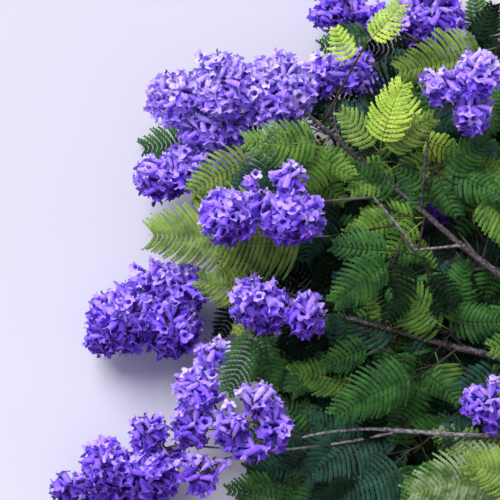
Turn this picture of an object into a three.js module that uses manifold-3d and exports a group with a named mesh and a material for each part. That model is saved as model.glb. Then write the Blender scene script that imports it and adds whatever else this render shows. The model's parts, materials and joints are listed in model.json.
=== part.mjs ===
// A flowering jacaranda bough, cut from its tree and laid on a level floor.
// One main bough forks into limbs and thin twigs. The twigs end in heads of trumpet flowers, and leafy
// shoots stand along them, each with a few feathery leaves cut to the rib between their leaflets.
// Millimetres, +Z up, the floor at z = 0 and the origin under the middle of the whole bough.
import * as THREE from "three";
import { mergeVertices } from "three/addons/utils/BufferGeometryUtils.js";
import Module from "manifold-3d";

const wasm = await Module();
wasm.setup();

const UP = new THREE.Vector3(0, 0, 1);
const GOLDEN_ANGLE = Math.PI * (3 - Math.sqrt(5));

const SEAT = 0.3; // clearance between a limb and what it carries
const SPACING = 0.6; // least distance from any leaf or flower to the neighbouring masses
const RIB_REST = 3; // a leaf's rib lies this high where it rests on the floor
const TIP_REST = 0; // and its leaflets' tips this high
const GROUND = [4000, 4000, 200]; // the block of ground that everything rests on
const WELD = 1e-3; // corners this close are one corner

const LIMB_SIDES = 7;
const TWIG_SIDES = 5;
const STEM_SIDES = 3;
const LIMB_STEPS = 5;
const TWIG_STEPS = 4;
const TWIG_RADIUS = 4; // a limb whose foot is thinner than this is a twig

const LEAF = {
  pairs: 6, // pairs of leaflets that the solid leaf is cut into
  ribHalf: 2, // half the rib's width and half its thickness
  petiole: 0.16, // where the leaflets begin, as a share of the leaf's length
  leafletsEnd: 0.97, // and where they end
  widest: 0.42, // where the longest leaflets stand
  breadth: 0.27, // longest leaflet as a share of the leaf's length
  footLeaflet: 0.72, // first and last leaflets as shares of the longest
  tipLeaflet: 0.3,
  lean: [0.22, 0.75], // how much a leaflet leans to the tip, at the leaf's [foot, tip]
  arch: 0.05, // rise of the leaf's middle as a share of its length
  droop: 0.16, // hang of a leaflet as a share of its length
  roll: 0.5, // most that a leaf is turned about its rib, in radians
  sway: 0.06, // most that its middle is pushed aside, as a share of its length
};

const SHOOT = {
  radii: [2.9, 2.3],
  leafed: [0.55, 0.97], // the stretch of a shoot that leaves stand on, as shares of its length
  sideLeaf: [0.8, 1.05], // length of the other leaves as a share of the longest
  turn: [0.6, 1.25], // how far each pair of them turns away from it, in radians
  rise: [-50, 50], // how far their tips rise or hang
};

const FLOWER = {
  sides: 5,
  length: 60,
  tubeRadius: 7,
  tube: 0.42, // where the tube starts to flare, as a share of the flower's length
  mouthRadius: 25,
  throat: 0.72, // depth of the open mouth, as a share of the flower's length
  hang: [4, 22], // how far a mouth hangs to the side that was lowest on the tree
};

const HEAD = {
  core: 0.6, // size of the core as a share of the head
  lump: 0.14, // unevenness of the core as a share of its size
  mouths: [0.9, 1], // how far out the flowers' mouths stand
  focus: 0.2, // they face away from a place this far out
  covered: 0.9, // share of the head's length that flowers stand on, from its far end
  stemRadii: [3, 3],
};

// Places are [x, y, z]: x and y from the middle of the flowering side, y towards the bough's upper side.

// Limb, what carries it, how far along that it starts (or where it starts), tip, radius at [foot, tip] and
// how far its middle is pushed [aside, up].
const LIMBS = [
  ["main_bough", null, [1155, -445, 14], [819, -315, 130], [17, 13], [8, 10]],
  ["middle_limb", "main_bough", 1, [200, -143, 190], [11.5, 3.2], [-5, 16]],
  ["upper_limb", "main_bough", 0.76, [84, 313, 245], [10.5, 3.2], [6, 22]],
  ["lower_limb", "main_bough", 0.3, [284, -380, 165], [9.5, 3.6], [8, 14]],
  ["near_fork", "lower_limb", 1, [105, -395, 200], [3.2, 2.4], [-8, 4]],
  ["far_fork", "lower_limb", 0.96, [-147, -416, 110], [3, 2.2], [26, -12]],
  ["top_limb", "upper_limb", 0.12, [462, 399, 120], [7, 3], [-30, 30]],
  ["top_twig", "top_limb", 0.82, [284, 500, 110], [2.8, 2.2], [-12, -4]],
  ["upright_twig", "upper_limb", 0.66, [372, 262, 290], [2.7, 2.2], [4, 14]],
  ["elbow_twig", "upper_limb", 0.55, [340, 0, 240], [3, 2.6], [0, 4]],
  ["elbow_end", "elbow_twig", 1, [252, 111, 268], [2.6, 2.2], [-4, 4]],
  ["crown_twig", "upper_limb", 0.93, [-10, 189, 120], [2.8, 2.2], [-10, -10]],
  ["west_twig", "middle_limb", 0.94, [-80, -74, 120], [2.9, 2.3], [-20, -8]],
  ["high_twig", "upper_limb", 0.86, [182, 318, 165], [2.7, 2.2], [10, -16]],
  ["right_limb", "main_bough", 0.62, [840, 150, 90], [7.5, 3], [24, 30]],
  ["bottom_limb", "lower_limb", 0.2, [609, -640, 80], [5, 2.6], [22, 20]],
];

// Head of flowers, the limb that carries it and how far along, its middle, its [length, width, height] and
// the number of flowers that stand out of its core. Its place in the list seeds its unevenness.
const HEADS = [
  ["head_crown", "upper_limb", 1, [-32, 318, 215], [346, 180, 165], 17],
  ["head_shoulder", "crown_twig", 1, [-126, 178, 136], [220, 155, 150], 13],
  ["head_middle", "elbow_end", 1, [30, 90, 318], [260, 165, 150], 13],
  ["head_west", "west_twig", 1, [-211, -129, 82], [260, 200, 190], 16],
  ["head_heart", "middle_limb", 1, [52, -116, 280], [190, 115, 115], 9],
  ["head_pillar", "far_fork", 0.76, [-95, -285, 150], [230, 125, 125], 10],
  ["head_wheel", "near_fork", 1, [0, -354, 270], [165, 160, 130], 9],
  ["head_foot", "far_fork", 1, [-268, -450, 80], [285, 210, 190], 16],
  ["head_drop", "far_fork", 0.7, [-96, -464, 190], [112, 92, 88], 5],
  ["head_top_left", "top_twig", 1, [222, 515, 95], [190, 115, 110], 8],
  ["head_top", "top_limb", 1, [405, 487, 92], [245, 155, 140], 11],
  ["head_upright", "upright_twig", 1, [445, 325, 325], [180, 155, 130], 10],
  ["head_edge", "lower_limb", 0.66, [504, -326, 235], [125, 110, 95], 6],
  ["head_shade", "upper_limb", 0.5, [414, 82, 95], [115, 90, 88], 5],
  ["head_high", "high_twig", 1, [200, 374, 150], [125, 190, 115], 9],
  ["head_right", "right_limb", 1, [810, 245, 58], [200, 160, 140], 9],
  ["head_bottom", "bottom_limb", 1, [545, -715, 54], [190, 150, 130], 8],
];

// Leafy shoot, the limb that carries it and how far along, the end of the shoot, the tip of its longest leaf,
// the number of its leaves and the seed that deals out the others.
const SPRAYS = [
  ["spray_blade", "elbow_end", 0.45, [165, 28, 212], [-216, 32, 165], 1, 3],
  ["spray_flame", "upper_limb", 0.83, [268, 200, 280], [311, 340, 350], 3, 28],
  ["spray_arrow", "upper_limb", 0.92, [241, 430, 272], [309, 505, 300], 2, 33],
  ["spray_fan", "top_limb", 0.9, [520, 430, 185], [305, 372, 225], 2, 4],
  ["spray_wing", "crown_twig", 0.4, [20, 200, 200], [-125, 120, 205], 2, 22],
  ["spray_far_wing", "crown_twig", 0.75, [-30, 240, 62], [-238, 222, 24], 2, 22],
  ["spray_lime", "west_twig", 0.5, [20, -95, 180], [-110, -60, 235], 2, 61],
  ["spray_hanging", "west_twig", 0.3, [10, -165, 185], [-50, -300, 214], 2, 38],
  ["spray_pale", "lower_limb", 0.46, [575, -460, 205], [325, -506, 262], 3, 77],
  ["spray_low", "middle_limb", 0.86, [262, -200, 195], [150, -245, 225], 3, 34],
  ["spray_bright", "middle_limb", 0.6, [415, -165, 220], [270, -55, 265], 3, 72],
  ["spray_inner", "upright_twig", 0.45, [400, 175, 250], [520, 115, 262], 3, 78],
  ["spray_curtain", "upper_limb", 0.9, [195, 200, 170], [115, -30, 110], 3, 13],
  ["spray_brow", "upper_limb", 0.9, [165, 232, 285], [-15, 222, 300], 2, 30],
  ["spray_elbow", "elbow_end", 0.3, [300, -15, 290], [168, -110, 320], 3, 45],
  ["spray_right", "upper_limb", 0.42, [620, -20, 225], [735, 130, 265], 3, 5],
  ["spray_gap", "upper_limb", 0.32, [660, -190, 215], [495, -205, 250], 3, 32],
  ["spray_shade", "middle_limb", 0.4, [540, -290, 140], [400, -360, 60], 3, 42],
  ["spray_arch", "middle_limb", 0.62, [365, -260, 215], [175, -350, 220], 2, 9],
  ["spray_under", "lower_limb", 0.92, [270, -320, 90], [60, -210, 30], 3, 59],
  ["spray_floor", "lower_limb", 0.86, [350, -435, 120], [110, -590, 30], 3, 34],
  ["spray_south", "lower_limb", 0.56, [470, -470, 90], [330, -690, 20], 3, 18],
  ["spray_north", "top_limb", 0.6, [650, 190, 190], [735, 430, 150], 3, 52],
  ["spray_back", "top_limb", 0.68, [500, 215, 110], [290, 200, 20], 3, 31],
  ["spray_east", "right_limb", 0.55, [930, -40, 165], [1080, 110, 120], 3, 17],
  ["spray_corner", "bottom_limb", 0.5, [800, -590, 100], [960, -720, 30], 3, 5],
  ["spray_heel", "middle_limb", 0.14, [745, -370, 190], [700, -620, 240], 3, 33],
];

// A fraction from 0 to 1 at each call, always the same series for one seed.
function seededFractions(seed) {
  let state = seed >>> 0;
  return () => {
    state = (Math.imul(state, 1664525) + 1013904223) >>> 0;
    return state / 4294967296;
  };
}

const between = (low, high, fraction) => low + (high - low) * fraction;

function material(name, color, roughness) {
  return new THREE.MeshStandardMaterial({ name, color, roughness, metalness: 0 });
}

const BARK = material("bark", "#6d5f57", 0.85);
const FOLIAGE = material("foliage", "#4f8a2c", 0.6);
const BLOSSOM = material("blossom", "#7458e0", 0.55);

// Closed three.js geometry as a solid that can be joined and cut.
function solidFrom(geometry) {
  const bare = geometry.clone();
  bare.deleteAttribute("normal");
  bare.deleteAttribute("uv");
  const merged = mergeVertices(bare, WELD);
  return new wasm.Manifold(
    new wasm.Mesh({
      numProp: 3,
      vertProperties: new Float32Array(merged.attributes.position.array),
      triVerts: new Uint32Array(merged.index.array),
    }),
  );
}

function geometryFrom(solid) {
  const mesh = solid.getMesh();
  const positions = new Float32Array(mesh.numVert * 3);
  for (let i = 0; i < mesh.numVert; i++) {
    positions.set(mesh.vertProperties.subarray(i * mesh.numProp, i * mesh.numProp + 3), i * 3);
  }
  const geometry = new THREE.BufferGeometry();
  geometry.setAttribute("position", new THREE.BufferAttribute(positions, 3));
  geometry.setIndex(new THREE.BufferAttribute(mesh.triVerts, 1));
  geometry.computeVertexNormals();
  return geometry;
}

const largestPiece = (solid) => solid.decompose().reduce((a, b) => (a.volume() >= b.volume() ? a : b));

// The curve of a limb, stem or leaf rib: its middle is pushed aside and up from the straight line.
function bowedCurve(foot, tip, aside, up) {
  const along = new THREE.Vector3().subVectors(tip, foot);
  const across = new THREE.Vector3().crossVectors(UP, along).normalize();
  const middle = new THREE.Vector3().addVectors(foot, tip).multiplyScalar(0.5);
  middle.addScaledVector(across, aside * 2).addScaledVector(UP, up * 2);
  return new THREE.QuadraticBezierCurve3(foot, middle, tip);
}

// At a share of the curve: the point, the way along it, across it and out of its upper face.
function frameOn(curve, share, roll = 0) {
  const at = curve.getPoint(share);
  const along = curve.getTangent(share);
  const across = new THREE.Vector3().crossVectors(UP, along).normalize().applyAxisAngle(along, roll);
  const face = new THREE.Vector3().crossVectors(along, across);
  return { at, along, across, face };
}

// A round bar bent onto a curve and tapered from its foot to its tip, thicker and longer by any clearance.
function taperedBar(curve, [footRadius, tipRadius], sides, steps, clearance = 0) {
  const bar = new THREE.CylinderGeometry(1, 1, 1, sides, steps);
  const position = bar.attributes.position;
  const margin = clearance / Math.cos(Math.PI / sides);
  for (let i = 0; i < position.count; i++) {
    const share = Math.round((position.getY(i) + 0.5) * steps) / steps;
    const radius = between(footRadius, tipRadius, share) + margin;
    const { at, along, across, face } = frameOn(curve, share);
    at.addScaledVector(across, -position.getX(i) * radius).addScaledVector(face, position.getZ(i) * radius);
    if (share === 0) at.addScaledVector(along, -clearance);
    if (share === 1) at.addScaledVector(along, clearance);
    position.setXYZ(i, at.x, at.y, at.z);
  }
  return solidFrom(bar);
}

// A leaf as a thin blade: a four-sided rib with a pointed leaflet drawn out of each side at every station.
function leafBlade(curve, length, roll) {
  const points = [];
  const faces = [];
  const add = (p) => points.push(p.x, p.y, p.z) / 3 - 1;
  const lifted = (p, rest) => p.setZ(Math.max(p.z, rest));
  const shareOf = (station) => between(LEAF.petiole, LEAF.leafletsEnd, station / LEAF.pairs);

  const ringAt = (share) => {
    const { at, across, face } = frameOn(curve, share, roll);
    lifted(at, RIB_REST);
    const side = (direction, amount) => add(at.clone().addScaledVector(direction, amount * LEAF.ribHalf));
    return [side(face, 1), side(across, -1), side(face, -1), side(across, 1)];
  };

  const leafletTip = (station, hand) => {
    const share = shareOf(station + 0.5);
    const spread = share < LEAF.widest
      ? between(LEAF.footLeaflet, 1, (share - LEAF.petiole) / (LEAF.widest - LEAF.petiole))
      : between(1, LEAF.tipLeaflet, (share - LEAF.widest) / (1 - LEAF.widest));
    const reach = LEAF.breadth * length * spread;
    const lean = between(...LEAF.lean, share);
    const wide = Math.sqrt(1 - lean * lean);
    const { at, along, across, face } = frameOn(curve, share, roll);
    at.addScaledVector(across, hand * reach * wide).addScaledVector(along, reach * lean);
    return add(lifted(at.addScaledVector(face, -reach * LEAF.droop), TIP_REST));
  };

  const foot = ringAt(0);
  faces.push([foot[0], foot[3], foot[1]], [foot[1], foot[3], foot[2]]);
  const rings = [foot];
  for (let station = 0; station <= LEAF.pairs; station++) rings.push(ringAt(shareOf(station)));
  for (let k = 0; k < 4; k++) {
    const next = (k + 1) % 4;
    faces.push([rings[0][k], rings[0][next], rings[1][next]], [rings[0][k], rings[1][next], rings[1][k]]);
  }
  for (let station = 0; station < LEAF.pairs; station++) {
    const [near, far] = [rings[station + 1], rings[station + 2]];
    const left = leafletTip(station, -1);
    const right = leafletTip(station, 1);
    faces.push([near[0], near[1], left], [near[0], left, far[0]], [far[0], left, far[1]]);
    faces.push([near[1], near[2], left], [near[2], far[2], left], [far[2], far[1], left]);
    faces.push([near[2], near[3], right], [near[2], right, far[2]], [far[2], right, far[3]]);
    faces.push([near[3], near[0], right], [near[0], far[0], right], [far[0], far[3], right]);
  }
  const last = rings[rings.length - 1];
  const end = add(lifted(curve.getPoint(1), TIP_REST));
  for (let k = 0; k < 4; k++) faces.push([last[k], last[(k + 1) % 4], end]);

  const blade = new THREE.BufferGeometry();
  blade.setAttribute("position", new THREE.BufferAttribute(new Float32Array(points), 3));
  blade.setIndex(faces.flat());
  return solidFrom(blade);
}

// A trumpet flower that opens along a direction, with the middle of its mouth at a point.
function trumpet(mouth, direction) {
  const profile = [
    [0, 0],
    [FLOWER.tubeRadius, FLOWER.tube * FLOWER.length],
    [FLOWER.mouthRadius, FLOWER.length],
    [0, FLOWER.throat * FLOWER.length],
  ].map(([radius, height]) => new THREE.Vector2(radius, height));
  const flower = new THREE.LatheGeometry(profile, FLOWER.sides);
  const turn = new THREE.Quaternion().setFromUnitVectors(new THREE.Vector3(0, 1, 0), direction);
  const foot = mouth.clone().addScaledVector(direction, -FLOWER.length);
  flower.applyQuaternion(turn).translate(foot.x, foot.y, foot.z);
  return solidFrom(flower);
}

const built = new Map();
const limbs = new Map();

const overlapsBox = (a, b) =>
  [0, 1, 2].every((k) => a.min[k] - SPACING < b.max[k] && b.min[k] - SPACING < a.max[k]);

// True where a solid keeps its distance from every other node built so far.
function isClear(solid, own) {
  const box = solid.boundingBox();
  for (const [name, other] of built) {
    if (name === own || !overlapsBox(box, other.boundingBox())) continue;
    if (solid.minGap(other, SPACING) < SPACING) return false;
  }
  return true;
}

// Where something of this radius starts, inside the limb that carries it.
function rootIn(name, share, radius) {
  const { curve } = limbs.get(name);
  const start = curve.getPoint(share);
  return share === 1 ? start.addScaledVector(curve.getTangent(1), -radius) : start;
}

// A limb or stem is cut back to a seat's clearance from every limb before it.
function seated(solid) {
  const cut = [...limbs.values()].reduce((rest, limb) => rest.subtract(limb.grown), solid);
  return largestPiece(cut);
}

// What would reach below the floor is pressed flat on it.
const ground = solidFrom(new THREE.BoxGeometry(...GROUND).translate(0, 0, -GROUND[2] / 2));
const resting = (solid) => (solid.boundingBox().min[2] < 0 ? largestPiece(solid.subtract(ground)) : solid);

function buildLimb([name, carrier, from, tip, radius, bow]) {
  const start = carrier ? rootIn(carrier, from, radius[0]) : new THREE.Vector3(...from);
  const curve = bowedCurve(start, new THREE.Vector3(...tip), ...bow);
  const [sides, steps] = radius[0] < TWIG_RADIUS ? [TWIG_SIDES, TWIG_STEPS] : [LIMB_SIDES, LIMB_STEPS];
  built.set(name, resting(seated(taperedBar(curve, radius, sides, steps))));
  limbs.set(name, { curve, grown: taperedBar(curve, radius, sides, steps, SEAT) });
}

// Gives the point of a head's ellipsoid that lies in a direction, at a share of its full size. The head's
// length runs on from its stem, and it lies level.
function headEllipsoid(start, centre, size) {
  const along = new THREE.Vector3().subVectors(centre, start).setZ(0).normalize();
  const axes = [along, new THREE.Vector3().crossVectors(UP, along), UP];
  return (direction, share) => {
    const point = centre.clone();
    axes.forEach((axis, k) => point.addScaledVector(axis, (direction[k] * size[k] * share) / 2));
    return point;
  };
}

// Directions spread evenly over a ball, from its far end round to the stem.
function evenDirection(index, count) {
  const along = 1 - (2 * HEAD.covered * (index + 0.5)) / count;
  const ring = Math.sqrt(1 - along * along);
  return [along, ring * Math.cos(index * GOLDEN_ANGLE), ring * Math.sin(index * GOLDEN_ANGLE)];
}

function headCore(pointOn, random) {
  const ball = new THREE.IcosahedronGeometry(1, 0);
  ball.deleteAttribute("normal");
  ball.deleteAttribute("uv");
  const core = mergeVertices(ball, WELD);
  const position = core.attributes.position;
  for (let i = 0; i < position.count; i++) {
    const share = HEAD.core * between(1 - HEAD.lump, 1 + HEAD.lump, random());
    const point = pointOn([position.getX(i), position.getY(i), position.getZ(i)], share);
    position.setXYZ(i, point.x, point.y, point.z);
  }
  return solidFrom(core);
}

function buildHead([name, carrier, share, middle, size, flowers], seed) {
  const random = seededFractions(seed);
  const start = rootIn(carrier, share, HEAD.stemRadii[0]);
  const centre = new THREE.Vector3(...middle);
  const pointOn = headEllipsoid(start, centre, size);
  const stem = taperedBar(bowedCurve(start, centre, 0, 0), HEAD.stemRadii, STEM_SIDES, 1);
  const parts = [seated(stem), headCore(pointOn, random)];
  for (let i = 0; i < flowers; i++) {
    const direction = evenDirection(i, flowers);
    const mouth = pointOn(direction, between(...HEAD.mouths, random()));
    mouth.y -= between(...FLOWER.hang, random());
    const flower = trumpet(mouth, mouth.clone().sub(pointOn(direction, HEAD.focus)).normalize());
    if (isClear(flower, name)) parts.push(flower);
  }
  built.set(name, resting(largestPiece(wasm.Manifold.union(parts))));
}

// The leaves of one shoot: the longest stands on its end, and the others stand along it and turn away to
// either side.
function leavesOf(shoot, longestTip, count, random) {
  const reach = longestTip.clone().sub(shoot.getPoint(1));
  const leaves = [];
  for (let i = 0; i < count; i++) {
    const root = shoot.getPoint(i === 0 ? SHOOT.leafed[1] : between(...SHOOT.leafed, random()));
    const end = longestTip.clone();
    if (i > 0) {
      const turn = (i % 2 ? 1 : -1) * Math.ceil(i / 2) * between(...SHOOT.turn, random());
      end.copy(reach).applyAxisAngle(UP, turn).multiplyScalar(between(...SHOOT.sideLeaf, random())).add(root);
      end.setZ(Math.max(TIP_REST, root.z + between(...SHOOT.rise, random())));
    }
    const roll = between(-LEAF.roll, LEAF.roll, random());
    const sway = between(-LEAF.sway, LEAF.sway, random());
    leaves.push({ root, end, roll, sway });
  }
  return leaves;
}

function buildSpray([name, carrier, share, shootEnd, longestTip, leaves, seed]) {
  const random = seededFractions(seed);
  const start = rootIn(carrier, share, SHOOT.radii[0]);
  const shoot = bowedCurve(start, new THREE.Vector3(...shootEnd), 0, 0);
  const parts = [seated(taperedBar(shoot, SHOOT.radii, STEM_SIDES, 1))];
  for (const { root, end, roll, sway } of leavesOf(shoot, new THREE.Vector3(...longestTip), leaves, random)) {
    const length = root.distanceTo(end);
    const blade = leafBlade(bowedCurve(root, end, sway * length, LEAF.arch * length), length, roll);
    if (isClear(blade, name)) parts.push(blade);
  }
  built.set(name, resting(largestPiece(wasm.Manifold.union(parts))));
}

// Puts the floor at z = 0 and the origin under the middle of everything built.
function middleOf(solids) {
  const whole = new THREE.Box3();
  for (const solid of solids) {
    const { min, max } = solid.boundingBox();
    whole.union(new THREE.Box3(new THREE.Vector3(...min), new THREE.Vector3(...max)));
  }
  const middle = whole.getCenter(new THREE.Vector3());
  return middle.setZ(whole.min.z);
}

LIMBS.forEach(buildLimb);
HEADS.forEach((head, place) => buildHead(head, place));
SPRAYS.forEach(buildSpray);

const bough = new THREE.Group();
const middle = middleOf(built.values());
for (const [name, solid] of built) {
  const finish = limbs.has(name) ? BARK : name.startsWith("head_") ? BLOSSOM : FOLIAGE;
  const mesh = new THREE.Mesh(geometryFrom(solid.translate(-middle.x, -middle.y, -middle.z)), finish);
  mesh.name = name;
  bough.add(mesh);
}

export default bough;
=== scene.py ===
"""Looks of a flowering jacaranda bough, cut from its tree and laid on a pale floor.

The limbs get bark, and the leaves and flowers grow on from them by the rules of the solid part: two-fold
feathery leaves on short shoots, and heads of trumpet flowers on thin stalks. The camera looks straight down.
"""

import json
import math

import bpy
import numpy as np
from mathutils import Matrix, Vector


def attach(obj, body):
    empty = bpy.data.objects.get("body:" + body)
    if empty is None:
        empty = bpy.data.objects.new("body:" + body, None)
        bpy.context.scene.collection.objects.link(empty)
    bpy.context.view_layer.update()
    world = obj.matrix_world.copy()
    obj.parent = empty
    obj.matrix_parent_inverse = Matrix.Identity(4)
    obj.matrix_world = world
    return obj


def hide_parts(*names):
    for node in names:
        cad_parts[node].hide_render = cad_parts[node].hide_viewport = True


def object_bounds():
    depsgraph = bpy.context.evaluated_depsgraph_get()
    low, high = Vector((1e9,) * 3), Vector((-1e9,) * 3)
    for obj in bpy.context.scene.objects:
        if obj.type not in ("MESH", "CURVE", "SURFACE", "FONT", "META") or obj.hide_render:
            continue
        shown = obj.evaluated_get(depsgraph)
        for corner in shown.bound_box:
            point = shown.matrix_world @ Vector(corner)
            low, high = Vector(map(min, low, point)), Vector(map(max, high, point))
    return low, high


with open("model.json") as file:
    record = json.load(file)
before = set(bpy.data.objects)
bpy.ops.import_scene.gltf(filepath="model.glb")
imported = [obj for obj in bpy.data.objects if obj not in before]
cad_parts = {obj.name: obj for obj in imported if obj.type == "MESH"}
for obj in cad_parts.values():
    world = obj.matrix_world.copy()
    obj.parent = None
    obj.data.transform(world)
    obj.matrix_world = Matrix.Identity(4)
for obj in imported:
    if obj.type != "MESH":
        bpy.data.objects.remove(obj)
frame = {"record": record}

bl_info = {
    "name": "Flowering jacaranda bough",
    "version": (1, 0, 0),
    "blender": (4, 5, 0),
    "location": "3D View > Sidebar > Bough",
    "description": "Dresses a cut jacaranda bough with bark, feathery leaves and heads of trumpet flowers",
    "category": "Object",
}

CAD_BOX = [list(corner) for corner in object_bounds()]

# Places below are [x, y, z] in millimetres on the flowering side, as in the solid part. The foot of the main
# bough is the one point that both frames name, so it gives the way from these places to the part's origin.
MM = 0.001
UP = np.array((0.0, 0.0, 1.0))
GOLDEN_ANGLE = math.pi * (3 - math.sqrt(5))

# Limb, what carries it, how far along that it starts (or where it starts), tip, radius at (foot, tip) and how
# far its middle is pushed (aside, up).
LIMBS = (
    ("main_bough", None, (1155, -445, 14), (819, -315, 130), (17, 13), (8, 10)),
    ("middle_limb", "main_bough", 1, (200, -143, 190), (11.5, 3.2), (-5, 16)),
    ("upper_limb", "main_bough", 0.76, (84, 313, 245), (10.5, 3.2), (6, 22)),
    ("lower_limb", "main_bough", 0.3, (284, -380, 165), (9.5, 3.6), (8, 14)),
    ("near_fork", "lower_limb", 1, (105, -395, 200), (3.2, 2.4), (-8, 4)),
    ("far_fork", "lower_limb", 0.96, (-147, -416, 110), (3, 2.2), (26, -12)),
    ("top_limb", "upper_limb", 0.12, (462, 399, 120), (7, 3), (-30, 30)),
    ("top_twig", "top_limb", 0.82, (284, 500, 110), (2.8, 2.2), (-12, -4)),
    ("upright_twig", "upper_limb", 0.66, (372, 262, 290), (2.7, 2.2), (4, 14)),
    ("elbow_twig", "upper_limb", 0.55, (340, 0, 240), (3, 2.6), (0, 4)),
    ("elbow_end", "elbow_twig", 1, (252, 111, 268), (2.6, 2.2), (-4, 4)),
    ("crown_twig", "upper_limb", 0.93, (-10, 189, 120), (2.8, 2.2), (-10, -10)),
    ("west_twig", "middle_limb", 0.94, (-80, -74, 120), (2.9, 2.3), (-20, -8)),
    ("high_twig", "upper_limb", 0.86, (182, 318, 165), (2.7, 2.2), (10, -16)),
    ("right_limb", "main_bough", 0.62, (840, 150, 90), (7.5, 3), (24, 30)),
    ("bottom_limb", "lower_limb", 0.2, (609, -640, 80), (5, 2.6), (22, 20)),
)

# Head of flowers, the limb that carries it and how far along, its middle, its (length, width, height), and
# its glow, painted light and shade on the whole head: 1 where most of its petals are pale, as in a head that
# catches the light, 0 where most are deep violet, as in one that lies in shade.
HEADS = (
    ("head_crown", "upper_limb", 1, (-32, 318, 215), (346, 180, 165), 1.08),
    ("head_shoulder", "crown_twig", 1, (-126, 178, 136), (220, 155, 150), 0.6),
    ("head_middle", "elbow_end", 1, (30, 90, 318), (260, 165, 150), 0.56),
    ("head_west", "west_twig", 1, (-211, -129, 82), (260, 200, 190), 0.45),
    ("head_heart", "middle_limb", 1, (52, -116, 280), (190, 115, 115), 0.5),
    ("head_pillar", "far_fork", 0.76, (-95, -285, 150), (230, 125, 125), 0.8),
    ("head_wheel", "near_fork", 1, (0, -354, 270), (165, 160, 130), 0.5),
    ("head_foot", "far_fork", 1, (-268, -450, 80), (285, 210, 190), 0.3),
    ("head_drop", "far_fork", 0.7, (-96, -464, 190), (112, 92, 88), 0.45),
    ("head_top_left", "top_twig", 1, (222, 515, 95), (190, 115, 110), 0.42),
    ("head_top", "top_limb", 1, (405, 487, 92), (245, 155, 140), 0.5),
    ("head_upright", "upright_twig", 1, (445, 325, 325), (180, 155, 130), 0.75),
    ("head_edge", "lower_limb", 0.66, (504, -326, 235), (125, 110, 95), 0.5),
    ("head_shade", "upper_limb", 0.5, (414, 82, 95), (115, 90, 88), 0.1),
    ("head_high", "high_twig", 1, (200, 374, 150), (125, 190, 115), 0.72),
    ("head_right", "right_limb", 1, (810, 245, 58), (200, 160, 140), 0.5),
    ("head_bottom", "bottom_limb", 1, (545, -715, 54), (190, 150, 130), 0.5),
)

# Leafy shoot, the limb that carries it and how far along, the end of the shoot, the tip of its longest leaf,
# its leaves in the solid part, the seed that deals out the others, how many more leaves it has here at most,
# three to a twig, and the tint of its upper leaves. Besides their own green, that tint is painted light and
# shade: dark for shoots that lie low in the shade, lime for sunlit ones.
SPRAYS = (
    ("spray_blade", "elbow_end", 0.45, (165, 28, 212), (-216, 32, 165), 1, 3, 0, "olive"),
    ("spray_flame", "upper_limb", 0.83, (268, 200, 280), (311, 340, 350), 3, 28, 3, "lime"),
    ("spray_arrow", "upper_limb", 0.92, (241, 430, 272), (309, 505, 300), 2, 33, 0, "lime"),
    ("spray_fan", "top_limb", 0.9, (520, 430, 185), (305, 372, 225), 2, 4, 9, "olive"),
    ("spray_wing", "crown_twig", 0.4, (20, 200, 200), (-125, 120, 205), 2, 22, 0, "olive"),
    ("spray_far_wing", "crown_twig", 0.75, (-30, 240, 62), (-238, 222, 24), 2, 22, 0, "green"),
    ("spray_lime", "west_twig", 0.5, (20, -95, 180), (-110, -60, 235), 2, 61, 0, "olive"),
    ("spray_hanging", "west_twig", 0.3, (10, -165, 185), (-50, -300, 214), 2, 38, 6, "green"),
    ("spray_pale", "lower_limb", 0.46, (575, -460, 205), (325, -506, 262), 3, 77, 9, "pale"),
    ("spray_low", "middle_limb", 0.86, (262, -200, 195), (150, -245, 225), 3, 34, 15, "green"),
    ("spray_bright", "middle_limb", 0.6, (415, -165, 220), (270, -55, 265), 3, 72, 15, "fresh"),
    ("spray_inner", "upright_twig", 0.45, (400, 175, 250), (520, 115, 262), 3, 78, 12, "green"),
    ("spray_curtain", "upper_limb", 0.9, (195, 200, 170), (115, -30, 110), 3, 13, 15, "blue"),
    ("spray_brow", "upper_limb", 0.9, (165, 232, 285), (-15, 222, 300), 2, 30, 3, "fresh"),
    ("spray_elbow", "elbow_end", 0.3, (300, -15, 290), (168, -110, 320), 3, 45, 9, "green"),
    ("spray_right", "upper_limb", 0.42, (620, -20, 225), (735, 130, 265), 3, 5, 15, "green"),
    ("spray_gap", "upper_limb", 0.32, (660, -190, 215), (495, -205, 250), 3, 32, 15, "fresh"),
    ("spray_shade", "middle_limb", 0.4, (540, -290, 140), (400, -360, 60), 3, 42, 21, "dark"),
    ("spray_arch", "middle_limb", 0.62, (365, -260, 215), (175, -350, 220), 2, 9, 15, "green"),
    ("spray_under", "lower_limb", 0.92, (270, -320, 90), (60, -210, 30), 3, 59, 18, "dark"),
    ("spray_floor", "lower_limb", 0.86, (350, -435, 120), (110, -590, 30), 3, 34, 18, "dark"),
    ("spray_south", "lower_limb", 0.56, (470, -470, 90), (330, -690, 20), 3, 18, 12, "dark"),
    ("spray_north", "top_limb", 0.6, (650, 190, 190), (735, 430, 150), 3, 52, 15, "green"),
    ("spray_back", "top_limb", 0.68, (500, 215, 110), (290, 200, 20), 3, 31, 21, "dark"),
    ("spray_east", "right_limb", 0.55, (930, -40, 165), (1080, 110, 120), 3, 17, 12, "green"),
    ("spray_corner", "bottom_limb", 0.5, (800, -590, 100), (960, -720, 30), 3, 5, 9, "green"),
    ("spray_heel", "middle_limb", 0.14, (745, -370, 190), (700, -620, 240), 3, 33, 12, "green"),
)
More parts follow.
